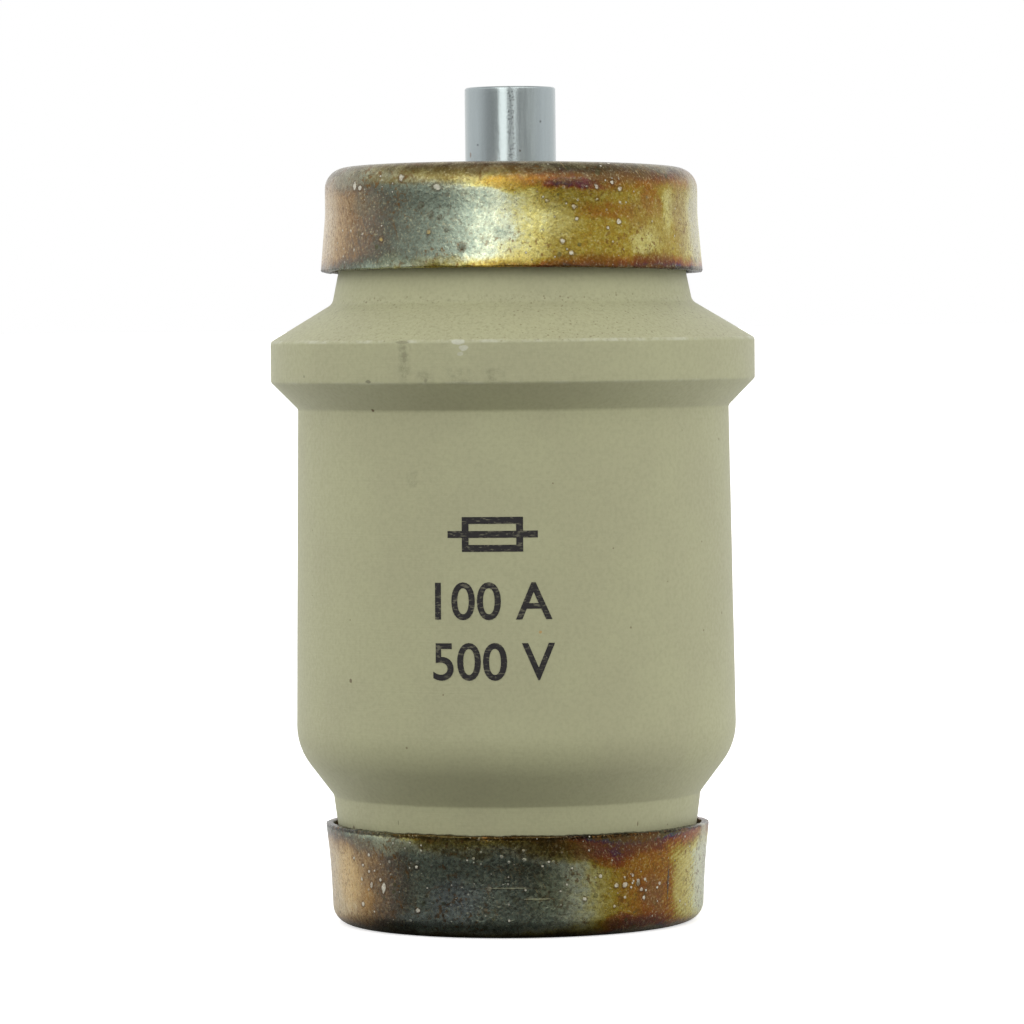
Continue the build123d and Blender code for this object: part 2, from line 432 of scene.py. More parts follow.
def spin_outline(name: str, points: Sequence[Vector], steps: int, closed: bool) -> bpy.types.Object:
    """Model a turned piece: draw its half section point by point, and spin it about the Z axis.

    Args:
        name: name of the piece.
        points: half section in millimetres, radius as X and height as Z.
        steps: number of segments round the axis.
        closed: whether the last point joins the first one.

    Returns:
        The finished mesh object, in object mode.
    """
    piece = new_piece(name)
    path = [point * MM for point in points]
    if closed:
        path.append(path[0])
    bpy.ops.transform.translate(value=path[0])
    for start, end in zip(path, path[1:]):
        bpy.ops.mesh.extrude_region_move(TRANSFORM_OT_translate={"value": end - start})
    bpy.ops.mesh.select_all(action="SELECT")
    bpy.ops.mesh.spin(steps=steps, angle=FULL_TURN, center=(0, 0, 0), axis=(0, 0, 1))
    bpy.ops.mesh.select_all(action="SELECT")
    bpy.ops.mesh.remove_doubles(threshold=0.004 * MM)
    bpy.ops.mesh.normals_make_consistent(inside=False)
    bpy.ops.object.mode_set(mode="OBJECT")
    return piece


def sculpt(piece: bpy.types.Object, move: Callable[[float, float, float], tuple[float, float]]) -> None:
    """Move every point of a turned piece in or out and up or down.

    Args:
        piece: the piece.
        move: gives the change of radius and height, in millimetres, from a point's angle in
            radians, its radius and its height in millimetres.
    """
    for vertex in piece.data.vertices:
        place = vertex.co / MM
        radius = math.hypot(place.x, place.y)
        if radius < 1e-6:
            continue
        outwards, upwards = move(math.atan2(place.x, -place.y), radius, place.z)
        scale = (radius + outwards) / radius
        vertex.co = Vector((place.x * scale, place.y * scale, place.z + upwards)) * MM


def finish_mesh(piece: bpy.types.Object, material: bpy.types.Material, body: str,
                replaced: Sequence[str] = (), crease_degrees: float = 40) -> bpy.types.Object:
    """Smooth a piece, give it its material and fix it to its body.

    Args:
        piece: the piece.
        material: its finish.
        body: the body that it moves with.
        replaced: the frame's nodes that it stands for.
        crease_degrees: edges sharper than this stay sharp.

    Returns:
        The same piece.
    """
    bpy.ops.object.select_all(action="DESELECT")
    bpy.context.view_layer.objects.active = piece
    piece.select_set(True)
    bpy.ops.object.shade_smooth_by_angle(angle=math.radians(crease_degrees))
    piece.data.materials.clear()
    piece.data.materials.append(material)
    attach(piece, body)
    if replaced:
        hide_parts(*replaced)
    LOG.info("%s: %d faces on %s", piece.name, len(piece.data.polygons), body)
    return piece


# --- Effects that several finishes share ----------------------------------------------------------


def make_polar_place() -> bpy.types.NodeTree:
    """Make the effect that turns a place into its turn about the axis and its height.

    Returns:
        The group. Turn is 0 to 1 with the printed face at 0.5, and Height is in millimetres.
    """
    effect = Effect("polar_place")
    graph = effect.graph
    place = effect.take("Place", "NodeSocketVector")
    parts = graph.add("ShaderNodeSeparateXYZ")
    graph.feed(parts.inputs[0], place)
    angle = graph.math("ARCTAN2", parts.outputs["X"], graph.times(parts.outputs["Y"], -1.0))
    effect.give("Turn", graph.math("ADD", graph.math("DIVIDE", angle, FULL_TURN), 0.5))
    effect.give("Height", graph.math("DIVIDE", parts.outputs["Z"], MM))
    radius = graph.math("SQRT", graph.math("ADD", graph.math("POWER", parts.outputs["X"], 2.0),
                                           graph.math("POWER", parts.outputs["Y"], 2.0)))
    effect.give("Radius", graph.math("DIVIDE", radius, MM))
    return effect.tree


def make_spatter() -> bpy.types.NodeTree:
    """Make the effect of scattered round spots, each with a ring about it.

    Returns:
        The group. Scale is spots per metre, Share is how many of them show, Size is their radius
        as a share of their spacing. Spot and Ring are masks.
    """
    effect = Effect("spatter")
    graph = effect.graph
    place = effect.take("Place", "NodeSocketVector")
    scale = effect.take("Scale", default=500.0)
    share = effect.take("Share", default=0.3)
    size = effect.take("Size", default=0.2)
    cells = graph.add("ShaderNodeTexVoronoi")
    graph.feed(cells.inputs["Vector"], place)
    graph.feed(cells.inputs["Scale"], scale)
    tint = graph.add("ShaderNodeSeparateColor")
    graph.feed(tint.inputs[0], cells.outputs["Color"])
    shown = graph.math("LESS_THAN", tint.outputs[0], share)
    own_size = graph.times(size, graph.range(tint.outputs[1], 0.0, 1.0, 0.5, 1.3, False))
    reach = graph.math("DIVIDE", cells.outputs["Distance"], own_size)
    spot = graph.range(reach, 0.75, 1.0, 1.0, 0.0)
    around = graph.times(graph.range(reach, 0.8, 1.05), graph.range(reach, 1.15, 1.5, 1.0, 0.0))
    effect.give("Spot", graph.times(spot, shown))
    effect.give("Ring", graph.times(around, shown))
    return effect.tree


def make_mark() -> bpy.types.NodeTree:
    """Make the effect of one ragged mark at a chosen place, with a ring about it.

    Returns:
        The group. Centre is in metres, Radius in millimetres, Shape squeezes the mark along each
        axis, and Ragged is noise that frays its edge. Spot and Ring are masks.
    """
    effect = Effect("mark")
    graph = effect.graph
    place = effect.take("Place", "NodeSocketVector")
    centre = effect.take("Centre", "NodeSocketVector")
    shape = effect.take("Shape", "NodeSocketVector")
    radius = effect.take("Radius", default=0.2)
    ragged = effect.take("Ragged", default=0.5)
    away = graph.add("ShaderNodeVectorMath", operation="SUBTRACT")
    graph.feed(away.inputs[0], place)
    graph.feed(away.inputs[1], centre)
    squeezed = graph.add("ShaderNodeVectorMath", operation="MULTIPLY")
    graph.feed(squeezed.inputs[0], away.outputs[0])
    graph.feed(squeezed.inputs[1], shape)
    length = graph.add("ShaderNodeVectorMath", operation="LENGTH")
    graph.feed(length.inputs[0], squeezed.outputs[0])
    reach = graph.math("DIVIDE", graph.math("DIVIDE", length.outputs["Value"], MM), radius)
    reach = graph.math("ADD", reach, graph.range(ragged, 0.25, 0.75, -0.4, 0.4, False))
    effect.give("Spot", graph.range(reach, 0.7, 1.05, 1.0, 0.0))
    rising, falling = graph.range(reach, 0.8, 1.1), graph.range(reach, 1.2, 1.7, 1.0, 0.0)
    effect.give("Ring", graph.times(rising, falling))
    return effect.tree


def make_scratches() -> bpy.types.NodeTree:
    """Make the effect of fine short scratches that all lie about one way round the axis.

    Returns:
        The group. Slope is the scratches' lean in radians, Length and Width are in millimetres,
        and Share is 0 to 1. Scratch is a mask.
    """
    effect = Effect("scratches")
    graph = effect.graph
    turn = effect.take("Turn", default=0.5)
    height = effect.take("Height")
    slope = effect.take("Slope")
    length = effect.take("Length", default=1.5)
    width = effect.take("Width", default=0.12)
    share = effect.take("Share", default=0.3)
    round_length = graph.times(graph.math("SUBTRACT", turn, 0.5), FULL_TURN * SKIRT_RADIUS)
    flat = graph.add("ShaderNodeCombineXYZ")
    graph.feed(flat.inputs["X"], round_length)
    graph.feed(flat.inputs["Y"], height)
    leant = graph.add("ShaderNodeVectorRotate", rotation_type="Z_AXIS")
    graph.feed(leant.inputs["Vector"], flat.outputs[0])
    graph.feed(leant.inputs["Angle"], slope)
    parts = graph.add("ShaderNodeSeparateXYZ")
    graph.feed(parts.inputs[0], leant.outputs[0])
    drawn = graph.add("ShaderNodeCombineXYZ")
    graph.feed(drawn.inputs["X"], graph.math("DIVIDE", parts.outputs["X"], length))
    graph.feed(drawn.inputs["Y"], graph.math("DIVIDE", parts.outputs["Y"], width))
    streaks = graph.noise(drawn.outputs[0], 1.0, 3, 0.6)
    start = graph.math("SUBTRACT", 0.78, graph.times(share, 0.3))
    effect.give("Scratch", graph.range(streaks, start, graph.math("ADD", start, 0.06)))
    return effect.tree


class Film(Enum):
    """Tarnish films in the order in which they thicken, each at its place in that order."""

    TAN = 0.0
    SAND = 0.07
    COPPER = 0.14
    PLUM = 0.20
    SLATE = 0.27
    GREY_GREEN = 0.36
    SAGE = 0.42
    PALE = 0.48
    STRAW = 0.56
    GOLD = 0.64
    AMBER = 0.71
    RUST = 0.77
    MAGENTA = 0.825
    VIOLET = 0.865
    BLUE = 0.895
    MOSS = 0.94
    BURNT = 1.0


FILM_COLOURS = {
    Film.TAN: from_srgb(206, 186, 150),
    Film.SAND: from_srgb(176, 148, 108),
    Film.COPPER: from_srgb(142, 116, 86),
    Film.PLUM: from_srgb(112, 100, 88),
    Film.SLATE: from_srgb(93, 95, 85),
    Film.GREY_GREEN: from_srgb(120, 131, 117),
    Film.SAGE: from_srgb(152, 166, 148),
    Film.PALE: from_srgb(210, 218, 188),
    Film.STRAW: from_srgb(210, 202, 126),
    Film.GOLD: from_srgb(170, 148, 56),
    Film.AMBER: from_srgb(160, 112, 42),
    Film.RUST: from_srgb(138, 76, 38),
    Film.MAGENTA: from_srgb(112, 54, 58),
    Film.VIOLET: from_srgb(84, 58, 86),
    Film.BLUE: from_srgb(66, 76, 92),
    Film.MOSS: from_srgb(88, 86, 54),
    Film.BURNT: from_srgb(92, 74, 48),
}


def make_film() -> bpy.types.NodeTree:
    """Make the effect that gives a film's interference colour from its thickness.

    Returns:
        The group. Thickness is 0 to 1 along the films' order.
    """
    effect = Effect("interference_film")
    thickness = effect.take("Thickness")
    stops = [(film.value, FILM_COLOURS[film]) for film in Film]
    effect.give("Colour", effect.graph.ramp(thickness, stops), "NodeSocketColor")
    return effect.tree


@dataclass(frozen=True)
class Effects:
    """The shared effects, each built once."""

    polar: bpy.types.NodeTree
    spatter: bpy.types.NodeTree
    mark: bpy.types.NodeTree
    scratches: bpy.types.NodeTree
    film: bpy.types.NodeTree

    @classmethod
    def build(cls) -> "Effects":
        """Make all the groups."""
        return cls(make_polar_place(), make_spatter(), make_mark(), make_scratches(), make_film())


# --- Finishes -------------------------------------------------------------------------------------


@dataclass(frozen=True)
class Mark:
    """A mark on a turned surface: degrees to the right of the front, and millimetres."""

    turn_degrees: float
    height: float
    radius: float
    colour: Colour
    strength: float = 0.9
    surface_radius: float = 14.9
    stretch: float = 1.0

    def add(self, graph: Graph, effects: Effects, place: Socket, ragged: Socket) -> dict[str, Socket]:
        """Put the mark in a material.

        Args:
            graph: the material's graph.
            effects: shared effects.
            place: place on the piece.
            ragged: noise that frays the edge.

        Returns:
            The spot and the ring, as masks by name.
        """
        turn = math.radians(self.turn_degrees)
        side, front = math.sin(turn) * self.surface_radius, -math.cos(turn) * self.surface_radius
        centre = Vector((side, front, self.height)) * MM
        return graph.group(effects.mark, Place=place, Centre=centre, Radius=self.radius,
                           Shape=Vector((1, 1, 1 / self.stretch)), Ragged=ragged)


# Pale chalky colour: chipped ceramic in some marks, and the painted highlight along the collar's edges.
CHALK_AND_EDGE_HIGHLIGHT = from_srgb(214, 215, 196)
SMUDGE = from_srgb(132, 130, 104)
RUST_DOT = from_srgb(92, 66, 38)
ORANGE_DOT = from_srgb(196, 150, 80)
DIRT = from_srgb(122, 118, 92)


@dataclass(frozen=True)
class Patch:
    """A soft-edged patch of another colour: degrees, millimetres, colour and strength."""

    turn_degrees: float
    height: float
    half_width: float
    half_height: float
    colour: Colour
    strength: float = 0.7


@dataclass(frozen=True)
class Steatite:
    """Matte unglazed steatite: grey-green, faintly clouded, with turning lines and specks."""

    effects: Effects
    colour: Colour = from_srgb(187, 187, 147)
    cloud_colour: Colour = from_srgb(183, 182, 144)
    speck_colour: Colour = from_srgb(112, 92, 60)
    dirt_colour: Colour = from_srgb(128, 124, 98)
    # Heights of the collar's two edges, and the strength of the painted highlight line along each.
    collar_highlight_edges: tuple[tuple[float, float], ...] = ((37.05, 0.35), (39.8, 1.0))
    collar_radius: float = 16.3
    smears: tuple[Patch, ...] = (
        Patch(-25.5, 38.5, 2.2, 1.6, DIRT, 0.5), Patch(-12.5, 37.5, 4.5, 0.7, DIRT, 0.35),
        Patch(-4.0, 37.5, 3.5, 0.6, DIRT, 0.5), Patch(-20.5, 37.4, 3.0, 0.6, DIRT, 0.35),
        Patch(-27.0, 30.7, 2.4, 0.7, DIRT, 0.3),
    )
    marks: tuple[Mark, ...] = (
        Mark(-26.0, 39.75, 0.5, from_srgb(98, 92, 66), 0.4, 16.5, 0.2),
        Mark(-57.5, 37.5, 0.14, SMUDGE, 0.7, 16.5),
        Mark(-20.2, 37.25, 0.16, SMUDGE, 0.6, 16.5),
        Mark(-12.4, 39.78, 0.44, CHALK_AND_EDGE_HIGHLIGHT, 0.75, 16.5, 0.45),
        Mark(-11.2, 39.35, 0.3, CHALK_AND_EDGE_HIGHLIGHT, 0.65, 16.5, 0.6),
        Mark(-12.1, 38.95, 0.2, CHALK_AND_EDGE_HIGHLIGHT, 0.45, 16.5, 0.7),
        Mark(-35.5, 37.15, 0.3, SMUDGE, 0.8, 16.4, 0.4),
        Mark(-39.2, 35.25, 0.15, RUST_DOT, 0.9, 14.75),
        Mark(0.7, 33.1, 0.13, ORANGE_DOT, 0.8),
        Mark(6.3, 20.6, 0.12, ORANGE_DOT, 0.7),
        Mark(-47.5, 17.2, 0.13, RUST_DOT, 0.7, 15.0),
        Mark(26.0, 26.0, 0.1, RUST_DOT, 0.6),
        Mark(-64.0, 6.9, 0.2, RUST_DOT, 0.8, 12.45),
        Mark(40.5, 7.3, 0.05, RUST_DOT, 0.8, 12.4, 5.0),
        Mark(-40.0, 7.6, 0.05, SMUDGE, 0.8, 12.4, 6.0),
        Mark(36.9, 9.3, 0.12, RUST_DOT, 0.6, 12.6),
        Mark(-2.6, 28.6, 0.09, RUST_DOT, 0.5),
        Mark(-20.1, 29.0, 0.1, ORANGE_DOT, 0.5),
    )

    def build(self) -> bpy.types.Material:
        """Make the material.

        Returns:
            The material.
        """
        coat = Coat("steatite")
        polar = coat.group(self.effects.polar, Place=coat.place)
        clouds = coat.noise(coat.place, 130.0, 5, 0.6)
        coat.colour = coat.mix(coat.range(clouds, 0.35, 0.65), self.cloud_colour, self.colour)
        self.add_turning_lines(coat, polar["Height"])
        self.add_specks(coat, polar["Height"])
        self.add_edge_highlight_and_wear(coat, polar)
        self.add_smears(coat, polar)
        ragged = coat.noise(coat.place, 2200.0, 3)
        for mark in self.marks:
            spot = mark.add(coat, self.effects, coat.place, ragged)["Spot"]
            coat.lay(coat.times(spot, mark.strength), mark.colour)
        grain = coat.noise(coat.place, 3600.0, 3, 0.65)
        coat.lay(coat.range(grain, 0.35, 0.75, 0.0, 0.15), self.dirt_colour)
        rings = coat.noise(self.along_height(coat, polar["Height"]), 9.0, 3, 0.6)
        coat.set(Base_Color=coat.colour, Roughness=coat.range(grain, 0.3, 0.7, 0.5, 0.66),
                 Sheen_Weight=0.17, Sheen_Roughness=0.35,
                 Normal=coat.bump(grain, 0.02, 1.0, coat.bump(rings, 0.012)))
        return coat.material

    def along_height(self, coat: Coat, height: Socket) -> Socket:
        """Make a vector that changes with height alone, so that noise on it runs in rings."""
        vector = coat.add("ShaderNodeCombineXYZ")
        coat.feed(vector.inputs["Z"], height)
        return vector.outputs[0]

    def add_turning_lines(self, coat: Coat, height: Socket) -> None:
        """Darken thin rings left by the turning tool, broken up along their length.

        Args:
            coat: the finish so far.
            height: height in millimetres.
        """
        rings = coat.noise(self.along_height(coat, height), 4.0, 4, 0.7)
        broken = coat.range(coat.noise(coat.place, 220.0, 3), 0.45, 0.65)
        coat.lay(coat.times(coat.range(rings, 0.6, 0.68), broken, 0.2), self.dirt_colour)

    def add_specks(self, coat: Coat, height: Socket) -> None:
        """Scatter brown specks, many on the upper cone and few elsewhere.

        Args:
            coat: the finish so far.
            height: height in millimetres.
        """
        few = coat.group(self.effects.spatter, Place=coat.place, Scale=800.0, Share=0.16, Size=0.08)
        coat.lay(coat.times(few["Spot"], 0.6), self.speck_colour)
        on_cone = coat.times(coat.range(height, 39.6, 39.9), coat.range(height, 42.4, 43.4, 1, 0))
        patches = coat.range(coat.noise(coat.place, 160.0, 3), 0.3, 0.6, 0.35, 1.0)
        for scale, share, size in ((1900.0, 0.5, 0.16), (3400.0, 0.5, 0.22)):
            many = coat.group(self.effects.spatter, Place=coat.place, Scale=scale, Share=share,
                              Size=size)
            coat.lay(coat.times(many["Spot"], on_cone, patches, 0.6), self.speck_colour)
        dusty = coat.range(coat.noise(coat.place, 4600.0, 3, 0.8), 0.5, 0.64)
        coat.lay(coat.times(dusty, on_cone, 0.25), self.speck_colour)

    def add_smears(self, coat: Coat, polar: dict[str, Socket]) -> None:
        """Smear dirt in soft broken patches on the collar.

        Args:
            coat: the finish so far.
            polar: outputs of the polar effect.
        """
        broken = coat.range(coat.noise(coat.place, 1500.0, 4, 0.75), 0.42, 0.62, 0.1, 1.0)
        for smear in self.smears:
            middle = smear.turn_degrees / 360 + 0.5
            aside = coat.math("ABSOLUTE", coat.math("SUBTRACT", polar["Turn"], middle))
            aside = coat.math("DIVIDE", aside, smear.half_width / 360)
            above = coat.math("ABSOLUTE", coat.math("SUBTRACT", polar["Height"], smear.height))
            above = coat.math("DIVIDE", above, smear.half_height)
            across = coat.range(aside, 0.2, 1.0, 1.0, 0.0)
            up = coat.range(above, 0.5, 1.0, 1.0, 0.0)
            coat.lay(coat.times(across, up, broken, smear.strength), smear.colour)

    def add_edge_highlight_and_wear(self, coat: Coat, polar: dict[str, Socket]) -> None:
        """Lay a pale broken line along the collar's two edges: a painted highlight on their rounds, with
        the chalky look of rub wear.

        Args:
            coat: the finish so far.
            polar: outputs of the polar effect.
        """
        outside = coat.range(polar["Radius"], self.collar_radius, self.collar_radius + 0.1)
        broken = coat.range(coat.noise(coat.place, 700.0, 4, 0.7), 0.45, 0.65, 0.05, 0.55)
        # Painted highlight: a pale broken line along each edge of the collar.
        for height, strength in self.collar_highlight_edges:
            away = coat.math("ABSOLUTE", coat.math("SUBTRACT", polar["Height"], height))
            line = coat.range(away, 0.04, 0.16, strength, 0.0)
            coat.lay(coat.times(line, outside, broken), CHALK_AND_EDGE_HIGHLIGHT)


@dataclass(frozen=True)
class Ink:
    """Flat black ink, thinned here and there so that the ceramic shows through."""

    colour: Colour = from_srgb(34, 31, 31)
    thin_colour: Colour = from_srgb(112, 109, 90)

    def build(self) -> bpy.types.Material:
        """Make the material.

        Returns:
            The material.
        """
        coat = Coat("marking_ink")
        squeegee = coat.add("ShaderNodeMapping")
        squeegee.inputs["Scale"].default_value = (0.3, 0.3, 1)
        coat.feed(squeegee.inputs["Vector"], coat.place)
        lines = coat.range(coat.noise(squeegee.outputs[0], 7000.0, 2, 0.6), 0.53, 0.68)
        patches = coat.range(coat.noise(coat.place, 240.0, 2), 0.35, 0.6, 0.35, 0.9)
        worn = coat.range(coat.noise(coat.place, 5200.0, 3, 0.7), 0.62, 0.72, 0.0, 0.8)
        thin = coat.math("MAXIMUM", coat.times(lines, patches), worn)
        coat.set(Base_Color=coat.mix(thin, self.colour, self.thin_colour), Roughness=0.7)
        return coat.material


@dataclass(frozen=True)
class BrightSteel:
    """Zinc-plated turned pin: cool grey, drawn along its length, with a few dark pits; painted shade
    down its sides and a painted glint down its front.
    """

    effects: Effects
    colour: Colour = from_srgb(188, 198, 197)
    streak_colour: Colour = from_srgb(180, 190, 189)
    painted_side_shade_colour: Colour = from_srgb(158, 167, 169)
    # Dark of the pits, and of the painted glint speckles down the front.
    pit_and_glint_colour: Colour = from_srgb(92, 96, 96)
    specks: tuple[Mark, ...] = (
        Mark(-45.8, 53.05, 0.09, from_srgb(58, 56, 58), 0.95, 3.1, 0.6),
        Mark(41.0, 54.6, 0.08, from_srgb(90, 92, 92), 0.8, 3.1),
        Mark(-62.0, 52.4, 0.12, from_srgb(120, 96, 74), 0.6, 3.1, 1.5),
        Mark(12.0, 52.6, 0.06, from_srgb(100, 86, 70), 0.8, 3.1),
    )

    def build(self) -> bpy.types.Material:
        """Make the material.

        Returns:
            The material.
        """
        coat = Coat("bright_steel")
        drawn = coat.add("ShaderNodeMapping")
        drawn.inputs["Scale"].default_value = (1, 1, 0.08)
        coat.feed(drawn.inputs["Vector"], coat.place)
        streaks = coat.noise(drawn.outputs[0], 3500.0, 4, 0.6)
        grain = coat.noise(coat.place, 4200.0, 3, 0.6)
        pits = coat.group(self.effects.spatter, Place=coat.place, Scale=1300.0, Share=0.16, Size=0.16)
        coat.colour = coat.mix(coat.range(streaks, 0.35, 0.65), self.streak_colour, self.colour)
        turn = coat.group(self.effects.polar, Place=coat.place)["Turn"]
        # Painted shade: the pin darkens away from its front, down both sides and round the back.
        aside = coat.math("ABSOLUTE", coat.math("SUBTRACT", turn, 0.515))
        coat.lay(coat.range(aside, 0.05, 0.1, 0.0, 0.85), self.painted_side_shade_colour)
        # Painted glint: a narrow line of dark speckles down the pin's front, where its highlight falls.
        aside = coat.math("ABSOLUTE", coat.math("SUBTRACT", turn, 0.502))
        painted_glint_line = coat.range(aside, 0.006, 0.02, 0.7, 0.0)
        glint_speckle = coat.range(coat.noise(coat.place, 7500.0, 3, 0.8), 0.5, 0.62)
        coat.lay(coat.times(painted_glint_line, glint_speckle), self.pit_and_glint_colour)
        coat.lay(coat.times(pits["Spot"], 0.7), self.pit_and_glint_colour)
        for speck in self.specks:
            spot = speck.add(coat, self.effects, coat.place, grain)["Spot"]
            coat.lay(coat.times(spot, speck.strength), speck.colour)
        coat.set(Base_Color=coat.colour, Metallic=1.0,
                 Roughness=coat.range(streaks, 0.3, 0.7, 0.16, 0.26),
                 Normal=coat.bump(streaks, 0.004, 1.0, coat.bump(grain, 0.004)))
        return coat.material


CRUST = from_srgb(224, 219, 200)
OLIVE_CRUST = from_srgb(84, 84, 58)
GOLD_CRUST = from_srgb(196, 168, 96)
HAIRLINE = from_srgb(58, 46, 32)
RUBBED = from_srgb(176, 172, 118)


@dataclass(frozen=True)
class Stain:
    """A soft patch where the film is thicker or thinner: degrees, millimetres and film order."""

    turn_degrees: float
    height: float
    half_width: float
    half_height: float
    change: float


@dataclass(frozen=True)
class Tarnish:
    """A plated cap with a film of tarnish that thickens round it and towards its edges."""

    effects: Effects
    name: str
    films: tuple[tuple[float, Film], ...]
    shades: tuple[tuple[float, float], ...]
    stains: tuple[Stain, ...]
    patches: tuple[Patch, ...]
    clusters: tuple[Patch, ...]
    pits: tuple[Mark, ...]
    rim_height: float
    rim_reach: float
    rim_growth: float
    face_height: float
    face_reach: float
    face_growth: float
    soot_and_shade_reach: float
    seed: float
    streak_depth: float = 0.03
    ripple_depth: float = 0.0
    streaks: float = -70.0
    ripples: float = 60.0
    # burr: width, in millimetres, of the painted shadow line along the rim's edge.
    burr: float = 0.12
    # Dark of the band over the rounded end: soot on the foot cap, soot and painted shade on the head
    # cap.
    soot_and_shade_colour: Colour = from_srgb(88, 76, 48)
    ash_colour: Colour = from_srgb(136, 128, 96)

    def build(self) -> bpy.types.Material:
        """Make the material.

        Returns:
            The material.
        """
        coat = Coat(self.name)
        true_place = coat.place
        coat.place = self.shifted(coat)
        polar = coat.group(self.effects.polar, Place=true_place)
        thickness = self.thickness(coat, polar)
        coat.colour = coat.group(self.effects.film, Thickness=thickness)["Colour"]
        self.add_soot_and_shade(coat, polar)
        self.add_patches(coat, polar)
        self.add_freckles(coat)
        self.add_scratches(coat, polar)
        crust = self.add_crust(coat, polar, true_place)
        grain = coat.noise(coat.place, 4200.0, 3, 0.6)
        hammered = coat.bump(coat.noise(coat.place, 3400.0, 4, 0.55, 0.8), 0.026)
        coat.set(Base_Color=coat.colour, Metallic=coat.range(crust, 0.0, 1.0, 1.0, 0.2, False),
                 Roughness=coat.range(grain, 0.3, 0.7, 0.2, 0.36),
                 Normal=coat.bump(crust, 0.05, 0.8, hammered))
        return coat.material

    def shifted(self, coat: Coat) -> Socket:
        """Move the patterns so that the two caps differ."""
        node = coat.add("ShaderNodeMapping")
        node.inputs["Location"].default_value = (self.seed, self.seed * 0.7, self.seed * 1.3)
        coat.feed(node.inputs["Vector"], coat.place)
        return node.outputs[0]

    def waver(self, coat: Coat, value: Socket, reach: float, scale: float, detail: float,
              roughness: float) -> Socket:
        """Make a turn or a height waver with cloudy noise.

        Args:
            coat: the finish so far.
            value: the turn or the height.
            reach: how far it wavers each way.
            scale: cells per metre.
            detail: number of finer layers.
            roughness: strength of the finer layers.

        Returns:
            The wavering value.
        """
        drift = coat.noise(coat.place, scale, detail, roughness)
        return coat.math("ADD", value, coat.range(drift, 0.2, 0.8, -reach, reach, False))

    def thickness(self, coat: Coat, polar: dict[str, Socket]) -> Socket:
        """Work out the film's thickness from the turn, the height, the stains and cloudy noise.

        Args:
            coat: the finish so far.
            polar: outputs of the polar effect.

        Returns:
            The thickness along the films' order.
        """
        turn = self.waver(coat, polar["Turn"], 0.02, 170.0, 4, 0.6)
        height = self.waver(coat, polar["Height"], 0.45, 420.0, 5, 0.7)
        total = coat.curve(turn, [(degrees / 360 + 0.5, film.value) for degrees, film in self.films])
        for start, end, growth in ((self.rim_height, self.rim_reach, self.rim_growth),
                                   (self.face_height, self.face_reach, self.face_growth)):
            near = coat.math("POWER", coat.range(height, start, end, 1.0, 0.0, False), 1.8)
            total = coat.math("ADD", total, coat.times(near, growth))
        for stain in self.stains:
            near = self.nearness(coat, turn, height, stain)
            total = coat.math("ADD", total, coat.times(near, stain.change))
        total = coat.math("ADD", total, self.hatching(coat, polar))
        total = self.waver(coat, total, 0.06, 2300.0, 5, 0.75)
        return coat.math("MINIMUM", coat.math("MAXIMUM", total, 0.0), 1.0)

    def nearness(self, coat: Coat, turn: Socket, height: Socket, spot: Stain | Patch) -> Socket:
        """Work out how near a place is to the middle of a stain or patch.

        Args:
            coat: the finish so far.
            turn: turn, 0 to 1.
            height: height in millimetres.
            spot: the stain or patch.

        Returns:
            The nearness, 1 in the middle and 0 outside.
        """
        middle = spot.turn_degrees / 360 + 0.5
        aside = coat.math("DIVIDE", coat.math("SUBTRACT", turn, middle), spot.half_width / 360)
        above = coat.math("DIVIDE", coat.math("SUBTRACT", height, spot.height), spot.half_height)
        reach = coat.math("SQRT", coat.math("ADD", coat.times(aside, aside), coat.times(above, above)))
        return coat.range(reach, 0.45, 1.15, 1.0, 0.0)

    def add_patches(self, coat: Coat, polar: dict[str, Socket]) -> None:
        """Lay the patches of other colours over the film.

        Args:
            coat: the finish so far.
            polar: outputs of the polar effect.
        """
        turn = self.waver(coat, polar["Turn"], 0.014, 230.0, 4, 0.6)
        height = self.waver(coat, polar["Height"], 0.5, 480.0, 5, 0.75)
        grain = coat.range(coat.noise(coat.place, 2600.0, 4, 0.75), 0.35, 0.65, 0.6, 1.15, False)
        for patch in self.patches:
            near = self.nearness(coat, turn, height, patch)
            cover = coat.math("MULTIPLY", coat.times(near, grain), patch.strength, clamp=True)
            coat.lay(cover, patch.colour)

    def hatching(self, coat: Coat, polar: dict[str, Socket]) -> Socket:
        """Work out the leaning streaks at one side of the cap and the fine ripples at the other.

        Args:
            coat: the finish so far.
            polar: outputs of the polar effect.

        Returns:
            The change of thickness.
        """
        streaks = coat.group(self.effects.scratches, Turn=polar["Turn"], Height=polar["Height"],
                             Slope=1.05, Length=2.6, Width=0.16, Share=0.9)["Scratch"]
        middle = coat.math("SUBTRACT", polar["Turn"], self.streaks / 360 + 0.5)
        at_left = coat.range(coat.math("ABSOLUTE", middle), 0.05, 0.12, self.streak_depth, 0.0)
        wave = coat.add("ShaderNodeTexWave", wave_type="BANDS", bands_direction="X")
        lean = coat.times(coat.math("SUBTRACT", polar["Turn"], 0.5), FULL_TURN * 5.0)
        bands = coat.add("ShaderNodeCombineXYZ")
        coat.feed(bands.inputs["X"], coat.math("SUBTRACT", polar["Height"], lean))
        coat.feed(bands.inputs["Y"], polar["Height"])
        coat.feed(wave.inputs["Vector"], bands.outputs[0])
        wave.inputs["Scale"].default_value = 0.95
        wave.inputs["Distortion"].default_value = 4.0
        wave.inputs["Detail Scale"].default_value = 0.8
        middle = coat.math("SUBTRACT", polar["Turn"], self.ripples / 360 + 0.5)
        at_right = coat.range(coat.math("ABSOLUTE", middle), 0.01, 0.05, self.ripple_depth, 0.0)
        return coat.math("ADD", coat.times(streaks, at_left), coat.times(wave.outputs["Fac"], at_right))

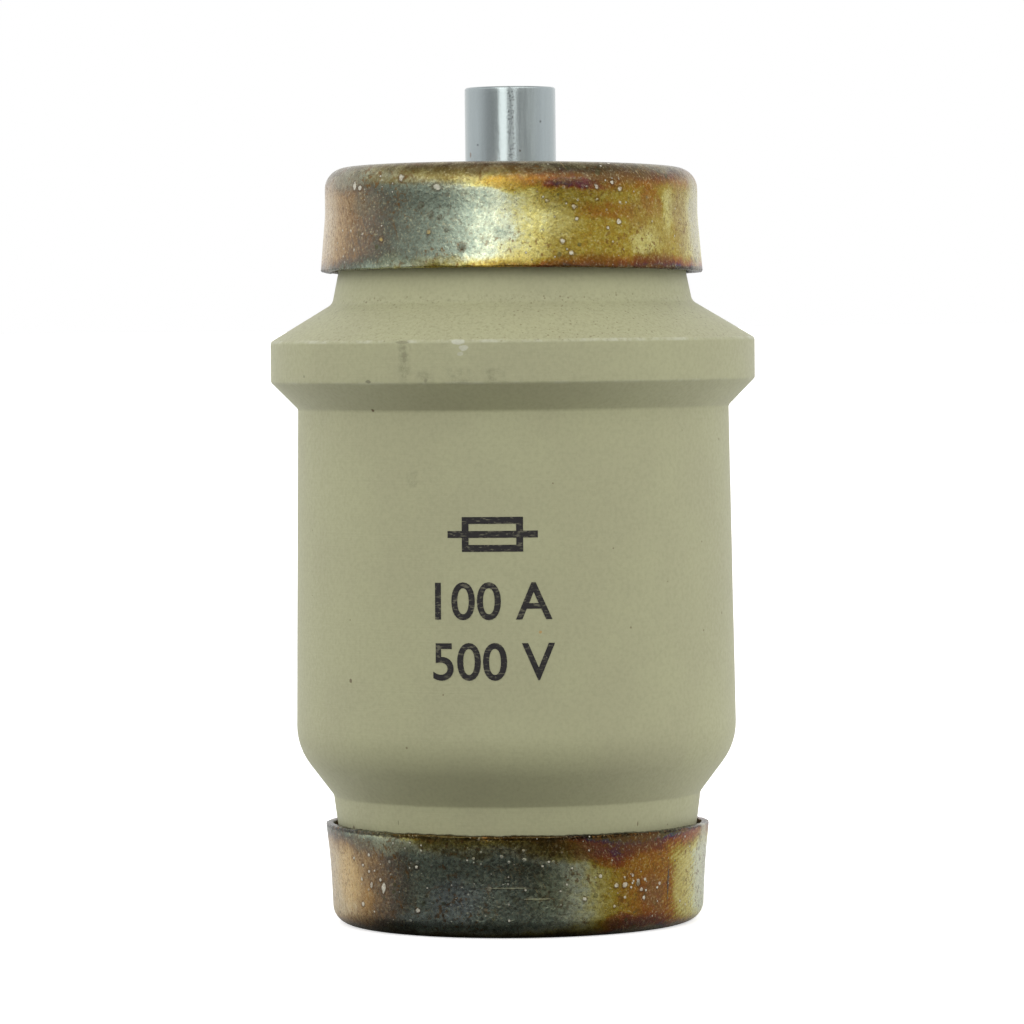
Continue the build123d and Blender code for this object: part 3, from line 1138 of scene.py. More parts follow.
    def add_soot_and_shade(self, coat: Coat, polar: dict[str, Socket]) -> None:
        """Darken the film by its shade round the cap and by a painted rim shadow line; lay mottled soot,
        on the head cap also painted shade, over the rounded edge.

        Args:
            coat: the finish so far.
            polar: outputs of the polar effect.
        """
        turn = self.waver(coat, polar["Turn"], 0.03, 260.0, 4, 0.6)
        shade = coat.curve(turn, [(degrees / 360 + 0.5, shade) for degrees, shade in self.shades])
        # Mottled dark band over the rounded end: soot, and on the head cap also painted shade of its
        # downward-facing edge.
        wobble = coat.range(coat.noise(coat.place, 600.0, 5, 0.75), 0.25, 0.75, -0.8, 0.8, False)
        height = coat.math("ADD", polar["Height"], wobble)
        soot_and_shade_cover = coat.range(height, self.face_height, self.soot_and_shade_reach, 0.9, 0.0)
        mottled = coat.mix(coat.range(coat.noise(coat.place, 900.0, 5, 0.75), 0.4, 0.62),
                           self.soot_and_shade_colour, self.ash_colour)
        # Painted shadow: a thin dark line along the rim's edge, multiplied in with the shade round the
        # cap.
        towards_face = 1 if self.face_height > self.rim_height else -1
        edge = self.rim_height + self.burr * towards_face
        rough = coat.range(coat.noise(coat.place, 3000.0, 3, 0.7), 0.3, 0.7, -0.07, 0.07, False)
        rim_height = coat.math("ADD", polar["Height"], rough)
        line = coat.range(rim_height, edge, edge + 0.13 * towards_face, 0.1, 1.0)
        level = coat.times(shade, line)
        dark = coat.add("ShaderNodeCombineColor")
        for channel in range(3):
            coat.feed(dark.inputs[channel], level)
        coat.lay(1.0, dark.outputs[0], "MULTIPLY")
        coat.lay(soot_and_shade_cover, mottled)

    def add_freckles(self, coat: Coat) -> None:
        """Scatter fine brown and olive freckles and thin tide lines over the film.

        Args:
            coat: the finish so far.
        """
        fine = coat.noise(coat.place, 5200.0, 4, 0.8)
        coat.lay(coat.range(fine, 0.52, 0.64, 0.0, 0.55), from_srgb(98, 74, 40))
        coat.lay(coat.range(fine, 0.34, 0.46, 0.4, 0.0), from_srgb(214, 204, 160))
        coarse = coat.range(coat.noise(coat.place, 2400.0, 3, 0.7), 0.56, 0.62)
        patchy = coat.range(coat.noise(coat.place, 260.0, 3), 0.42, 0.6, 0.15, 0.75)
        coat.lay(coat.times(coarse, patchy), from_srgb(112, 80, 40))
        crowd = coat.range(coat.noise(coat.place, 150.0, 3), 0.4, 0.62)
        olive = coat.group(self.effects.spatter, Place=coat.place, Scale=1500.0, Share=0.3, Size=0.3)
        coat.lay(coat.times(olive["Spot"], crowd, 0.65), OLIVE_CRUST)
        tide = coat.math("SUBTRACT", coat.noise(coat.place, 210.0, 3, 0.5), 0.52)
        line = coat.range(coat.math("ABSOLUTE", tide), 0.002, 0.008, 0.5, 0)
        broken = coat.range(coat.noise(coat.place, 300.0, 3), 0.52, 0.62)
        coat.lay(coat.times(line, broken), from_srgb(104, 76, 40))

    def add_scratches(self, coat: Coat, polar: dict[str, Socket]) -> None:
        """Rub fine pale scratches into the film, in patches.

        Args:
            coat: the finish so far.
            polar: outputs of the polar effect.
        """
        patches = coat.range(coat.noise(coat.place, 130.0, 3), 0.42, 0.6)
        for slope, length, share in ((1.15, 1.1, 0.55), (-0.2, 2.2, 0.3)):
            scratched = coat.group(self.effects.scratches, Turn=polar["Turn"], Height=polar["Height"],
                                   Slope=slope, Length=length, Width=0.1, Share=share)["Scratch"]
            coat.lay(coat.times(scratched, patches, 0.5), from_srgb(206, 178, 124))

    def add_crust(self, coat: Coat, polar: dict[str, Socket], true_place: Socket) -> Socket:
        """Scatter pale crusted spots with dark rings, and put the largest ones in their places.

        Args:
            coat: the finish so far.
            polar: outputs of the polar effect.
            true_place: place on the piece, not shifted.

        Returns:
            The mask of the crust.
        """
        large, small, dense = (
            coat.group(self.effects.spatter, Place=coat.place, Scale=scale, Share=share, Size=size)
            for scale, share, size in ((800.0, 0.09, 0.14), (2600.0, 0.2, 0.2), (2100.0, 0.42, 0.24)))
        crowd = coat.range(coat.noise(coat.place, 140.0, 3), 0.4, 0.6)
        spots = coat.math("MAXIMUM", large["Spot"], coat.times(small["Spot"], crowd))
        for cluster in self.clusters:
            near = self.nearness(coat, polar["Turn"], polar["Height"], cluster)
            crowded = coat.times(near, cluster.strength)
            spots = coat.math("MAXIMUM", spots, coat.times(dense["Spot"], crowded))
        rings = coat.math("MAXIMUM", large["Ring"], coat.times(small["Ring"], crowd))
        coat.lay(coat.times(rings, 0.5), from_srgb(70, 50, 34))
        coat.lay(coat.times(spots, 0.8), CRUST)
        ragged = coat.noise(true_place, 3400.0, 3, 0.7)
        worn = coat.range(coat.noise(true_place, 6000.0, 2), 0.3, 0.6, 0.45, 1.0)
        for pit in self.pits:
            masks = pit.add(coat, self.effects, true_place, ragged)
            coat.lay(coat.times(masks["Ring"], 0.45), from_srgb(88, 62, 38))
            coat.lay(coat.times(masks["Spot"], pit.strength, worn), pit.colour)
            spots = coat.math("MAXIMUM", spots, masks["Spot"])
        return spots


@dataclass(frozen=True)
class FootTarnish:
    """The foot cap's tarnish: copper and slate at the left, pale in front, gold at the right."""

    films: tuple[tuple[float, Film], ...] = (
        (-180, Film.PALE), (-150, Film.PALE), (-128, Film.STRAW), (-105, Film.GREY_GREEN),
        (-88, Film.TAN), (-68, Film.SAND), (-57, Film.COPPER), (-47, Film.PLUM),
        (-38, Film.SLATE), (-27, Film.GREY_GREEN), (-12, Film.SAGE), (-4, Film.PALE),
        (5, Film.STRAW), (18, Film.GOLD), (40, Film.GOLD), (52, Film.GOLD), (62, Film.GOLD),
        (74, Film.STRAW), (88, Film.STRAW), (115, Film.GOLD), (150, Film.PALE), (180, Film.PALE),
    )
    shades: tuple[tuple[float, float], ...] = (
        (-180, 0.9), (-100, 0.9), (-75, 1.0), (-45, 0.95), (0, 1.0), (18, 0.85), (40, 0.8),
        (60, 0.9), (80, 1.0), (120, 0.9), (180, 0.9),
    )
    stains: tuple[Stain, ...] = (
        Stain(30, 48.3, 12, 0.7, 0.05),
        Stain(44, 46.3, 9, 1.1, -0.07),
        Stain(57, 48.6, 5, 2.2, -0.07),
        Stain(48, 48.8, 5, 1.4, 0.06),
        Stain(-4, 50.2, 13, 0.6, 0.1),
        Stain(19, 50.2, 9, 0.5, 0.16),
        Stain(13, 47.6, 7, 1.2, -0.06),
        Stain(-2, 46.9, 4, 0.6, -0.04),
    )
    patches: tuple[Patch, ...] = (
        Patch(-28, 50.7, 24, 0.6, from_srgb(124, 110, 64), 0.75),
        Patch(-62, 50.6, 14, 0.8, from_srgb(152, 148, 128), 0.6),
        Patch(-50, 48.9, 9, 1.0, from_srgb(116, 114, 96), 0.5),
        Patch(-2, 50.3, 9, 0.5, from_srgb(206, 166, 76), 0.6),
        Patch(14, 50.4, 8, 0.5, from_srgb(138, 92, 56), 0.6),
        Patch(36, 50.8, 20, 0.7, from_srgb(98, 78, 50), 0.75),
        Patch(24, 50.0, 9, 0.35, from_srgb(132, 66, 62), 0.6),
        Patch(-38, 44.9, 9, 0.7, from_srgb(110, 116, 92), 0.6),
        Patch(-21, 44.8, 12, 0.75, from_srgb(136, 126, 66), 0.85),
        Patch(-6, 44.7, 8, 0.6, from_srgb(180, 154, 76), 0.75),
        Patch(24, 44.8, 15, 0.8, from_srgb(114, 78, 30), 0.75),
        Patch(46, 44.9, 11, 0.9, from_srgb(98, 60, 36), 0.8),
        Patch(2, 45.3, 6, 0.7, from_srgb(214, 196, 112), 0.5),
        Patch(16, 46.6, 5, 1.8, from_srgb(150, 132, 58), 0.5),
        Patch(-18, 46.8, 6, 1.8, from_srgb(134, 146, 130), 0.5),
        Patch(43, 48.2, 6, 1.6, from_srgb(138, 106, 58), 0.5),
        Patch(51, 47.2, 5, 2.2, from_srgb(160, 144, 78), 0.6),
        # Painted haze of light: the next two patches pale and grey the film towards the cap's right
        # edge.
        Patch(63, 47.6, 7, 3.0, from_srgb(156, 138, 92), 0.7),
        Patch(76, 47.6, 9, 4.0, from_srgb(182, 178, 156), 0.85),
        Patch(-74, 47.6, 8, 4.0, from_srgb(190, 174, 146), 0.5),
    )
    clusters: tuple[Patch, ...] = (
        Patch(-55, 46.4, 16, 1.8, GOLD_CRUST, 0.6),
        Patch(-48, 50.2, 16, 0.8, CRUST, 0.6),
        Patch(30, 49.6, 16, 1.4, CRUST, 0.8),
    )
    pits: tuple[Mark, ...] = (
        Mark(15.1, 46.3, 0.2, CRUST), Mark(17.7, 45.5, 0.25, CRUST), Mark(19.1, 48.6, 0.18, CRUST, 0.6),
        Mark(19.8, 47.8, 0.13, CRUST), Mark(26.6, 49.1, 0.16, CRUST), Mark(26.6, 49.9, 0.17, CRUST),
        Mark(23.3, 49.95, 0.12, CRUST), Mark(31.8, 50.2, 0.17, CRUST), Mark(34.6, 49.8, 0.2, CRUST),
        Mark(34.0, 47.6, 0.19, CRUST), Mark(30.0, 47.2, 0.11, CRUST),
        Mark(10.7, 49.0, 0.14, CRUST, 0.6),
        Mark(-55.5, 50.2, 0.22, CRUST, 0.9, stretch=1.5), Mark(-52.6, 50.1, 0.2, CRUST, 0.9),
        Mark(-35.2, 50.7, 0.28, CRUST, 0.8), Mark(-22.8, 50.0, 0.28, CRUST, 0.9, stretch=0.8),
        Mark(-42.4, 46.6, 0.2, GOLD_CRUST), Mark(-25.3, 47.0, 0.15, GOLD_CRUST),
        Mark(-14.9, 46.0, 0.26, OLIVE_CRUST, 0.7), Mark(-24.9, 48.2, 0.18, OLIVE_CRUST, 0.8),
        Mark(-28.1, 48.8, 0.2, OLIVE_CRUST, 0.7), Mark(-22.0, 48.0, 0.14, OLIVE_CRUST, 0.8),
        Mark(-19.5, 49.5, 0.14, OLIVE_CRUST, 0.8), Mark(-19.7, 47.1, 0.12, OLIVE_CRUST, 0.8),
    )

    def build(self, effects: Effects) -> bpy.types.Material:
        """Make the material.

        Args:
            effects: shared effects.

        Returns:
            The material.
        """
        low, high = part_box("foot_cap")
        rim, crown = low.z / MM, high.z / MM
        pits = on_skirt(self.pits)
        return Tarnish(effects, "foot_tarnish", self.films, self.shades, self.stains,
                       self.patches, self.clusters, pits,
                       rim_height=rim, rim_reach=rim + 1.2, rim_growth=0.3,
                       face_height=crown, face_reach=crown - 2.4, face_growth=0.35,
                       soot_and_shade_reach=crown - 1.9, seed=0.031).build()


@dataclass(frozen=True)
class HeadTarnish:
    """The head cap's tarnish: copper at the left, dark in front, green-gold and rust at the right."""

    films: tuple[tuple[float, Film], ...] = (
        (-180, Film.STRAW), (-150, Film.STRAW), (-120, Film.PALE), (-100, Film.SAGE),
        (-84, Film.TAN), (-68, Film.TAN), (-55, Film.SAND), (-47, Film.COPPER), (-40, Film.PLUM),
        (-35, Film.SLATE), (-27, Film.GREY_GREEN), (2, Film.GREY_GREEN), (9, Film.SAGE),
        (22, Film.STRAW), (30, Film.GOLD), (38, Film.AMBER), (48, Film.AMBER), (53, Film.GOLD),
        (61, Film.STRAW), (76, Film.PALE), (90, Film.PALE), (120, Film.GOLD), (150, Film.STRAW),
        (180, Film.STRAW),
    )
    shades: tuple[tuple[float, float], ...] = (
        (-180, 0.9), (-84, 1.0), (-55, 1.0), (-38, 1.05), (-15, 0.93), (0, 0.82),
        (9, 0.85), (17, 0.85), (26, 0.88), (36, 0.85), (47, 0.8), (58, 0.88), (74, 0.95),
        (110, 0.9), (180, 0.9),
    )
    stains: tuple[Stain, ...] = (
        Stain(10, 5.6, 12, 0.8, 0.1),
        Stain(29, 5.4, 9, 0.9, 0.12),
        Stain(43, 2.4, 6, 1.9, 0.04),
        Stain(34, 1.0, 14, 0.5, 0.1),
    )
    patches: tuple[Patch, ...] = (
        Patch(-21, 2.6, 11, 1.7, from_srgb(132, 140, 142), 0.7),
        Patch(-26, 1.3, 16, 0.6, from_srgb(154, 166, 160), 0.6),
        Patch(-41, 6.1, 9, 0.7, from_srgb(162, 164, 138), 0.7),
        Patch(-54, 6.1, 7, 0.7, from_srgb(126, 118, 98), 0.6),
        Patch(-19, 6.2, 19, 0.9, from_srgb(114, 104, 60), 0.8),
        Patch(6, 6.1, 14, 1.1, from_srgb(90, 74, 42), 0.85),
        Patch(9, 3.2, 8, 2.0, from_srgb(150, 154, 108), 0.4),
        Patch(0, 4.6, 8, 0.8, from_srgb(92, 94, 70), 0.5),
        Patch(22, 5.9, 7, 0.8, from_srgb(126, 82, 62), 0.7),
        Patch(38, 6.1, 13, 0.9, from_srgb(104, 70, 42), 0.75),
        Patch(45, 2.6, 5, 1.6, from_srgb(120, 96, 66), 0.5),
        Patch(61, 3.4, 7, 2.6, from_srgb(196, 184, 116), 0.6),
        Patch(62, 6.2, 9, 0.6, from_srgb(160, 104, 72), 0.6),
        # Painted haze of light: pales and greys the film at the cap's right edge.
        Patch(76, 4.0, 8, 4.0, from_srgb(204, 206, 178), 0.8),
        Patch(-64, 3.6, 9, 2.4, from_srgb(214, 180, 120), 0.6),
        Patch(-52, 2.4, 5, 1.2, from_srgb(184, 142, 80), 0.5),
        Patch(38, 0.9, 14, 0.5, from_srgb(116, 80, 56), 0.6),
    )
    clusters: tuple[Patch, ...] = (
        Patch(-52, 4.8, 13, 2.2, CRUST, 0.95),
        Patch(37, 3.2, 9, 1.3, CRUST, 1.0),
        Patch(49, 2.9, 6, 1.0, CRUST, 0.7),
        Patch(-10, 5.6, 30, 1.0, GOLD_CRUST, 0.5),
    )
    pits: tuple[Mark, ...] = (
        Mark(-44.9, 3.2, 0.22, CRUST, 0.9, stretch=1.6),
        Mark(-50.6, 3.3, 0.16, CRUST, 0.9, stretch=1.4),
        Mark(-54.4, 4.6, 0.13, CRUST), Mark(-51.6, 4.2, 0.12, CRUST), Mark(-45.8, 4.8, 0.1, CRUST),
        Mark(-48.7, 4.3, 0.1, CRUST), Mark(-59.3, 5.0, 0.13, CRUST), Mark(-38.6, 5.6, 0.14, GOLD_CRUST),
        Mark(-31.9, 1.8, 0.18, CRUST), Mark(-55.5, 3.6, 0.1, CRUST), Mark(-49.6, 1.5, 0.12, CRUST),
        Mark(-55.7, 6.3, 0.15, CRUST), Mark(-7.5, 6.2, 0.18, SMUDGE, 0.7),
        Mark(-8.7, 3.4, 0.16, SMUDGE, 0.6),
        Mark(25.2, 4.1, 0.14, CRUST), Mark(20.2, 2.6, 0.15, CRUST), Mark(30.2, 2.0, 0.13, CRUST),
        Mark(30.8, 3.4, 0.18, CRUST), Mark(33.8, 3.4, 0.2, CRUST), Mark(36.6, 4.0, 0.13, CRUST),
        Mark(38.7, 3.4, 0.18, SMUDGE), Mark(40.0, 3.0, 0.17, CRUST), Mark(41.2, 2.4, 0.14, CRUST),
        Mark(36.1, 3.2, 0.1, CRUST), Mark(42.0, 2.9, 0.1, CRUST), Mark(46.8, 3.0, 0.1, CRUST),
        Mark(-11.8, 6.3, 0.16, SMUDGE, 0.6), Mark(51.8, 4.3, 0.09, HAIRLINE, 0.95, stretch=30.0),
        Mark(-3.0, 3.45, 1.4, RUBBED, 0.22, stretch=0.04),
        Mark(5.6, 2.7, 0.9, RUBBED, 0.25, stretch=0.08),
    )

    def build(self, effects: Effects) -> bpy.types.Material:
        """Make the material.

        Args:
            effects: shared effects.

        Returns:
            The material.
        """
        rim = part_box("head_cap")[1].z / MM
        pits = on_skirt(self.pits)
        return Tarnish(effects, "head_tarnish", self.films, self.shades, self.stains,
                       self.patches, self.clusters, pits,
                       rim_height=rim, rim_reach=rim - 1.9, rim_growth=0.36,
                       face_height=0.0, face_reach=1.3, face_growth=0.25,
                       soot_and_shade_reach=0.78, seed=0.083, ripple_depth=0.05).build()


def on_skirt(marks: Sequence[Mark]) -> tuple[Mark, ...]:
    """Lay marks on a cap's skirt."""
    return tuple(replace(mark, surface_radius=SKIRT_RADIUS) for mark in marks)


@dataclass(frozen=True)
class RedPaint:
    """Satin red paint on the indicator, scuffed and a little dusty."""

    effects: Effects
    colour: Colour = from_srgb(176, 26, 20)
    deep_colour: Colour = from_srgb(134, 16, 14)
    dust_colour: Colour = from_srgb(186, 150, 136)

    def build(self) -> bpy.types.Material:
        """Make the material.

        Returns:
            The material.
        """
        coat = Coat("indicator_red")
        clouds = coat.noise(coat.place, 900.0, 4, 0.6)
        coat.colour = coat.mix(coat.range(clouds, 0.35, 0.65), self.deep_colour, self.colour)
        dust = coat.group(self.effects.spatter, Place=coat.place, Scale=2600.0, Share=0.35, Size=0.2)
        coat.lay(coat.times(dust["Spot"], 0.4), self.dust_colour)
        grain = coat.noise(coat.place, 4000.0, 3)
        coat.set(Base_Color=coat.colour, Roughness=coat.range(grain, 0.3, 0.7, 0.3, 0.48),
                 Normal=coat.bump(grain, 0.008), Coat_Weight=0.25)
        return coat.material


@dataclass(frozen=True)
class PlainFinish:
    """A finish with cloudy colour and a fine bump, for the pieces inside."""

    name: str
    colour: Colour
    dark_colour: Colour
    metallic: float
    roughness: float
    grain_scale: float = 900.0
    bump_height: float = 0.02

    def build(self) -> bpy.types.Material:
        """Make the material.

        Returns:
            The material.
        """
        coat = Coat(self.name)
        clouds = coat.noise(coat.place, self.grain_scale / 4, 4)
        grain = coat.noise(coat.place, self.grain_scale, 3)
        smooth, rough = self.roughness * 0.85, self.roughness * 1.15
        coat.set(Base_Color=coat.mix(coat.range(clouds, 0.35, 0.65), self.dark_colour, self.colour),
                 Metallic=self.metallic, Roughness=coat.range(grain, 0.3, 0.7, smooth, rough),
                 Normal=coat.bump(grain, self.bump_height))
        return coat.material


# --- Pieces ---------------------------------------------------------------------------------------


@dataclass(frozen=True)
class Chip:
    """A small hollow knocked out of a surface: degrees round the axis, and millimetres."""

    turn_degrees: float
    height: float
    reach: float
    depth: float

    def hollow(self, angle: float, radius: float, height: float) -> float:
        """Work out how far a point is pushed in.

        Args:
            angle: the point's angle from the front, in radians.
            radius: its distance from the axis, in millimetres.
            height: its height, in millimetres.

        Returns:
            The depth of the hollow there, in millimetres.
        """
        across = math.remainder(angle - math.radians(self.turn_degrees), FULL_TURN) * radius
        share = math.hypot(across, height - self.height) / self.reach
        return self.depth * (1 - share * share) ** 2 if share < 1 else 0.0


@dataclass
class CeramicBody:
    """The turned steatite body: collar, two cones, two necks and a spigot at each end."""

    bore: float = 9.0
    spigot_chamfer: float = 0.4
    head_spigot: float = 12.17
    head_spigot_top: float = 4.4
    low_neck: Corner = Corner(12.57, 8.8, 0.5)
    shoulder: Corner = Corner(15.06, 12.1, 4.4)
    waist: Corner = Corner(14.73, 35.2, 0.35)
    collar_low: float = 37.05
    collar_high: float = 39.8
    collar_round: float = 0.3
    neck: Corner = Corner(12.3, 42.35, 0.7)
    groove: Corner = Corner(11.8, 44.8, 0.4)
    foot_spigot: float = 12.2
    foot_spigot_low: float = 46.6
    chips: tuple[Chip, ...] = (
        Chip(-11.9, 39.75, 0.55, 0.16), Chip(-25.0, 39.8, 0.3, 0.1), Chip(-35.5, 37.1, 0.45, 0.1),
        Chip(31.0, 39.8, 0.4, 0.08), Chip(118.0, 39.75, 0.7, 0.2), Chip(-140.0, 37.1, 0.5, 0.15),
    )
    spacing: float = 0.5
    steps: int = 240

    def outline(self) -> list[Corner]:
        """Lay out the half section, closed through the bore."""
        low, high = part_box("ceramic_body")
        bottom, top, collar = low.z / MM, high.z / MM, high.x / MM
        chamfer = self.spigot_chamfer
        return [
            Corner(self.bore + chamfer, bottom),
            Corner(self.head_spigot - chamfer, bottom),
            Corner(self.head_spigot, bottom + chamfer, 0.1),
            Corner(self.head_spigot, self.head_spigot_top),
            Corner(self.head_spigot - 0.13, self.head_spigot_top + chamfer),
            self.low_neck,
            self.shoulder,
            self.waist,
            Corner(collar, self.collar_low, self.collar_round),
            Corner(collar, self.collar_high, self.collar_round),
            self.neck,
            self.groove,
            Corner(self.foot_spigot, self.foot_spigot_low),
            Corner(self.foot_spigot, top - chamfer, 0.1),
            Corner(self.foot_spigot - chamfer, top),
            Corner(self.bore + chamfer, top),
            Corner(self.bore, top - chamfer),
            Corner(self.bore, bottom + chamfer),
        ]

    def build(self, material: bpy.types.Material) -> bpy.types.Object:
        """Turn the body and dress it.

        Args:
            material: the ceramic.

        Returns:
            The body.
        """
        points = outline_points(self.outline(), self.spacing)
        piece = spin_outline("steatite_body", points, self.steps, closed=True)
        sculpt(piece, self.wear)
        return finish_mesh(piece, material, FUSE_BODY, ["ceramic_body"])

    def wear(self, angle: float, radius: float, height: float) -> tuple[float, float]:
        """Knock the chips out of the collar's edges and leave the faces very slightly uneven.

        Args:
            angle: the point's angle from the front, in radians.
            radius: its distance from the axis, in millimetres.
            height: its height, in millimetres.

        Returns:
            How far the point moves outwards and upwards, in millimetres.
        """
        if radius < self.neck.radius:
            return 0.0, 0.0
        uneven = noise.noise(Vector((math.sin(angle), math.cos(angle), height / 6)) * 2) * 0.012
        hollow = sum(chip.hollow(angle, radius, height) for chip in self.chips)
        return uneven - hollow, 0.0


def tilt(angle: float, radius: float, forwards: float, sideways: float) -> float:
    """Work out how much a cap that sits a little askew rises at a point.

    Args:
        angle: the point's angle from the front, in radians.
        radius: its distance from the axis, in millimetres.
        forwards: rise at the front, in millimetres for each millimetre of radius.
        sideways: rise at the right, in the same way.

    Returns:
        The rise in millimetres.
    """
    return radius * (forwards * math.cos(angle) + sideways * math.sin(angle))


def burr(angle: float, height: float, away: float, reach: float) -> Vector:
    """Work out the ragged burr that shearing leaves along a cap's rim.

    Args:
        angle: the point's angle from the front, in radians.
        height: its height, in millimetres.
        away: its distance from the rim, in millimetres.
        reach: how far the burr reaches in from the rim, in millimetres.

    Returns:
        How far the point moves outwards as X and along the axis as Z, in millimetres.
    """
    if away > reach:
        return Vector()
    place = Vector((math.sin(angle), math.cos(angle), height * 0.3))
    share = 1 - away / reach
    ragged = noise.noise(place * 34) * 0.05 + noise.noise(place * 9) * 0.05
    outwards = noise.noise(place * 26 + Vector((5, 0, 0))) * 0.03
    return Vector((outwards, 0, ragged)) * share


@dataclass
class HeadCap:
    """The drawn cap on the head: a flaring skirt with a recessed hole for the indicator."""

    sheet: float = 0.5
    edge: float = 1.25
    low_radius: float = 12.68
    middle: Corner = Corner(12.81, 4.0, 30.0)
    rim_radius: float = 13.11
    rim_height: float = 6.78
    recess_depth: float = 0.4
    recess_floor: float = 4.6
    recess_radius: float = 5.4
    hole: float = 3.0
    spacing: float = 0.35
    steps: int = 480

    def build(self, material: bpy.types.Material) -> bpy.types.Object:
        """Draw the cap and dress it.

        Args:
            material: the tarnished plate.

        Returns:
            The cap.
        """
        wall = self.sheet
        corners = [
            Corner(self.hole, self.recess_depth),
            Corner(self.recess_floor, self.recess_depth, 0.3),
            Corner(self.recess_radius, 0, 0.3),
            Corner(self.low_radius - 0.02, 0, self.edge),
            self.middle,
            Corner(self.rim_radius, self.rim_height, 0.12),
            Corner(self.rim_radius - wall, self.rim_height + 0.06, 0.12),
            Corner(self.middle.radius - wall, self.middle.height, 30.0),
            Corner(self.low_radius - wall - 0.02, wall, self.edge - wall),
            Corner(self.recess_radius + wall / 4, wall),
            Corner(self.recess_floor + wall / 4, self.recess_depth + wall),
            Corner(self.hole, self.recess_depth + wall),
        ]
        points = outline_points(corners, self.spacing)
        piece = spin_outline("tarnished_head_cap", points, self.steps, closed=True)
        sculpt(piece, self.wear)
        return finish_mesh(piece, material, FUSE_BODY, ["head_cap"])

    def wear(self, angle: float, radius: float, height: float) -> tuple[float, float]:
        """Sit the cap a little askew, wave its skirt and leave a burr on its rim.

        Args:
            angle: the point's angle from the front, in radians.
            radius: its distance from the axis, in millimetres.
            height: its height, in millimetres.

        Returns:
            How far the point moves outwards and upwards, in millimetres.
        """
        skirt = min(max((height - 1.5) / 2, 0), 1)
        waves = noise.noise(Vector((math.sin(angle), math.cos(angle), height / 20)) * 2.2) * 0.05
        edge = burr(angle, height, self.rim_height - height, 0.5)
        lift = (tilt(angle, radius, 0.011, -0.007) + edge.z) * skirt
        return waves * skirt + edge.x, lift


@dataclass
class FootCap:
    """The drawn cap on the foot, with the pin standing on its crown."""

    sheet: float = 0.5
    edge: float = 1.45
    skirt_radius: float = 12.72
    flare: Corner = Corner(12.72, 48.3, 8.0)
    rim_radius: float = 13.06
    rim_height: float = 44.5
    hole: float = 2.05
    spacing: float = 0.35
    steps: int = 480

    def build(self, material: bpy.types.Material) -> bpy.types.Object:
        """Draw the cap and dress it.

        Args:
            material: the tarnished plate.

        Returns:
            The cap.
        """
        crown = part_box("foot_cap")[1].z / MM
        wall = self.sheet
        corners = [
            Corner(self.hole, crown),
            Corner(self.skirt_radius, crown, self.edge),
            self.flare,
            Corner(self.rim_radius, self.rim_height, 0.12),
            Corner(self.rim_radius - wall, self.rim_height - 0.04, 0.12),
            Corner(self.flare.radius - wall, self.flare.height, 8.0),
            Corner(self.skirt_radius - wall, crown - wall, self.edge - wall),
            Corner(self.hole, crown - wall),
        ]
        points = outline_points(corners, self.spacing)
        piece = spin_outline("tarnished_foot_cap", points, self.steps, closed=True)
        sculpt(piece, self.wear)
        return finish_mesh(piece, material, FUSE_BODY, ["foot_cap"])

    def wear(self, angle: float, radius: float, height: float) -> tuple[float, float]:
        """Sit the cap a little askew, wave its skirt and leave a burr on its rim.

        Args:
            angle: the point's angle from the front, in radians.
            radius: its distance from the axis, in millimetres.
            height: its height, in millimetres.

        Returns:
            How far the point moves outwards and upwards, in millimetres.
        """
        waves = noise.noise(Vector((math.sin(angle), math.cos(angle), height / 20)) * 2.2) * 0.04
        edge = burr(angle, height, height - self.rim_height, 0.4)
        near_pin = min(max((radius - 4) / 4, 0), 1)
        lift = tilt(angle, radius, 0.0165, -0.009) * near_pin - 0.05 * near_pin
        return waves * near_pin + edge.x, lift - abs(edge.z)


@dataclass
class ContactPin:
    """The contact pin: a turned pin with a tenon riveted over inside the foot cap."""

    radius: float = 3.1
    edge: float = 0.16
    tenon: float = 2.0
    rivet: float = 3.0
    rivet_edge: float = 0.3
    spacing: float = 0.25
    steps: int = 120

    def build(self, material: bpy.types.Material) -> bpy.types.Object:
        """Turn the pin and dress it.

        Args:
            material: the bright steel.

        Returns:
            The pin.
        """
        low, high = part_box("contact_pin")
        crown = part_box("foot_cap")[1].z / MM
        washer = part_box("pin_washer")[0].z / MM
        corners = [
            Corner(0, high.z / MM),
            Corner(self.radius, high.z / MM, self.edge),
            Corner(self.radius, crown),
            Corner(self.tenon, crown),
            Corner(self.tenon, washer),
            Corner(self.rivet, washer),
            Corner(self.rivet, low.z / MM, self.rivet_edge),
            Corner(0, low.z / MM),
        ]
        points = outline_points(corners, self.spacing)
        piece = spin_outline("bright_contact_pin", points, self.steps, closed=False)
        return finish_mesh(piece, material, FUSE_BODY, ["contact_pin"])


@dataclass(frozen=True)
class Line:
    """One printed line of plain type: its words, and the height that it stands at."""

    words: str
    low: float


@dataclass(frozen=True)
class Bar:
    """One printed bar: its box on the unrolled surface."""

    left: float
    right: float
    low: float
    high: float


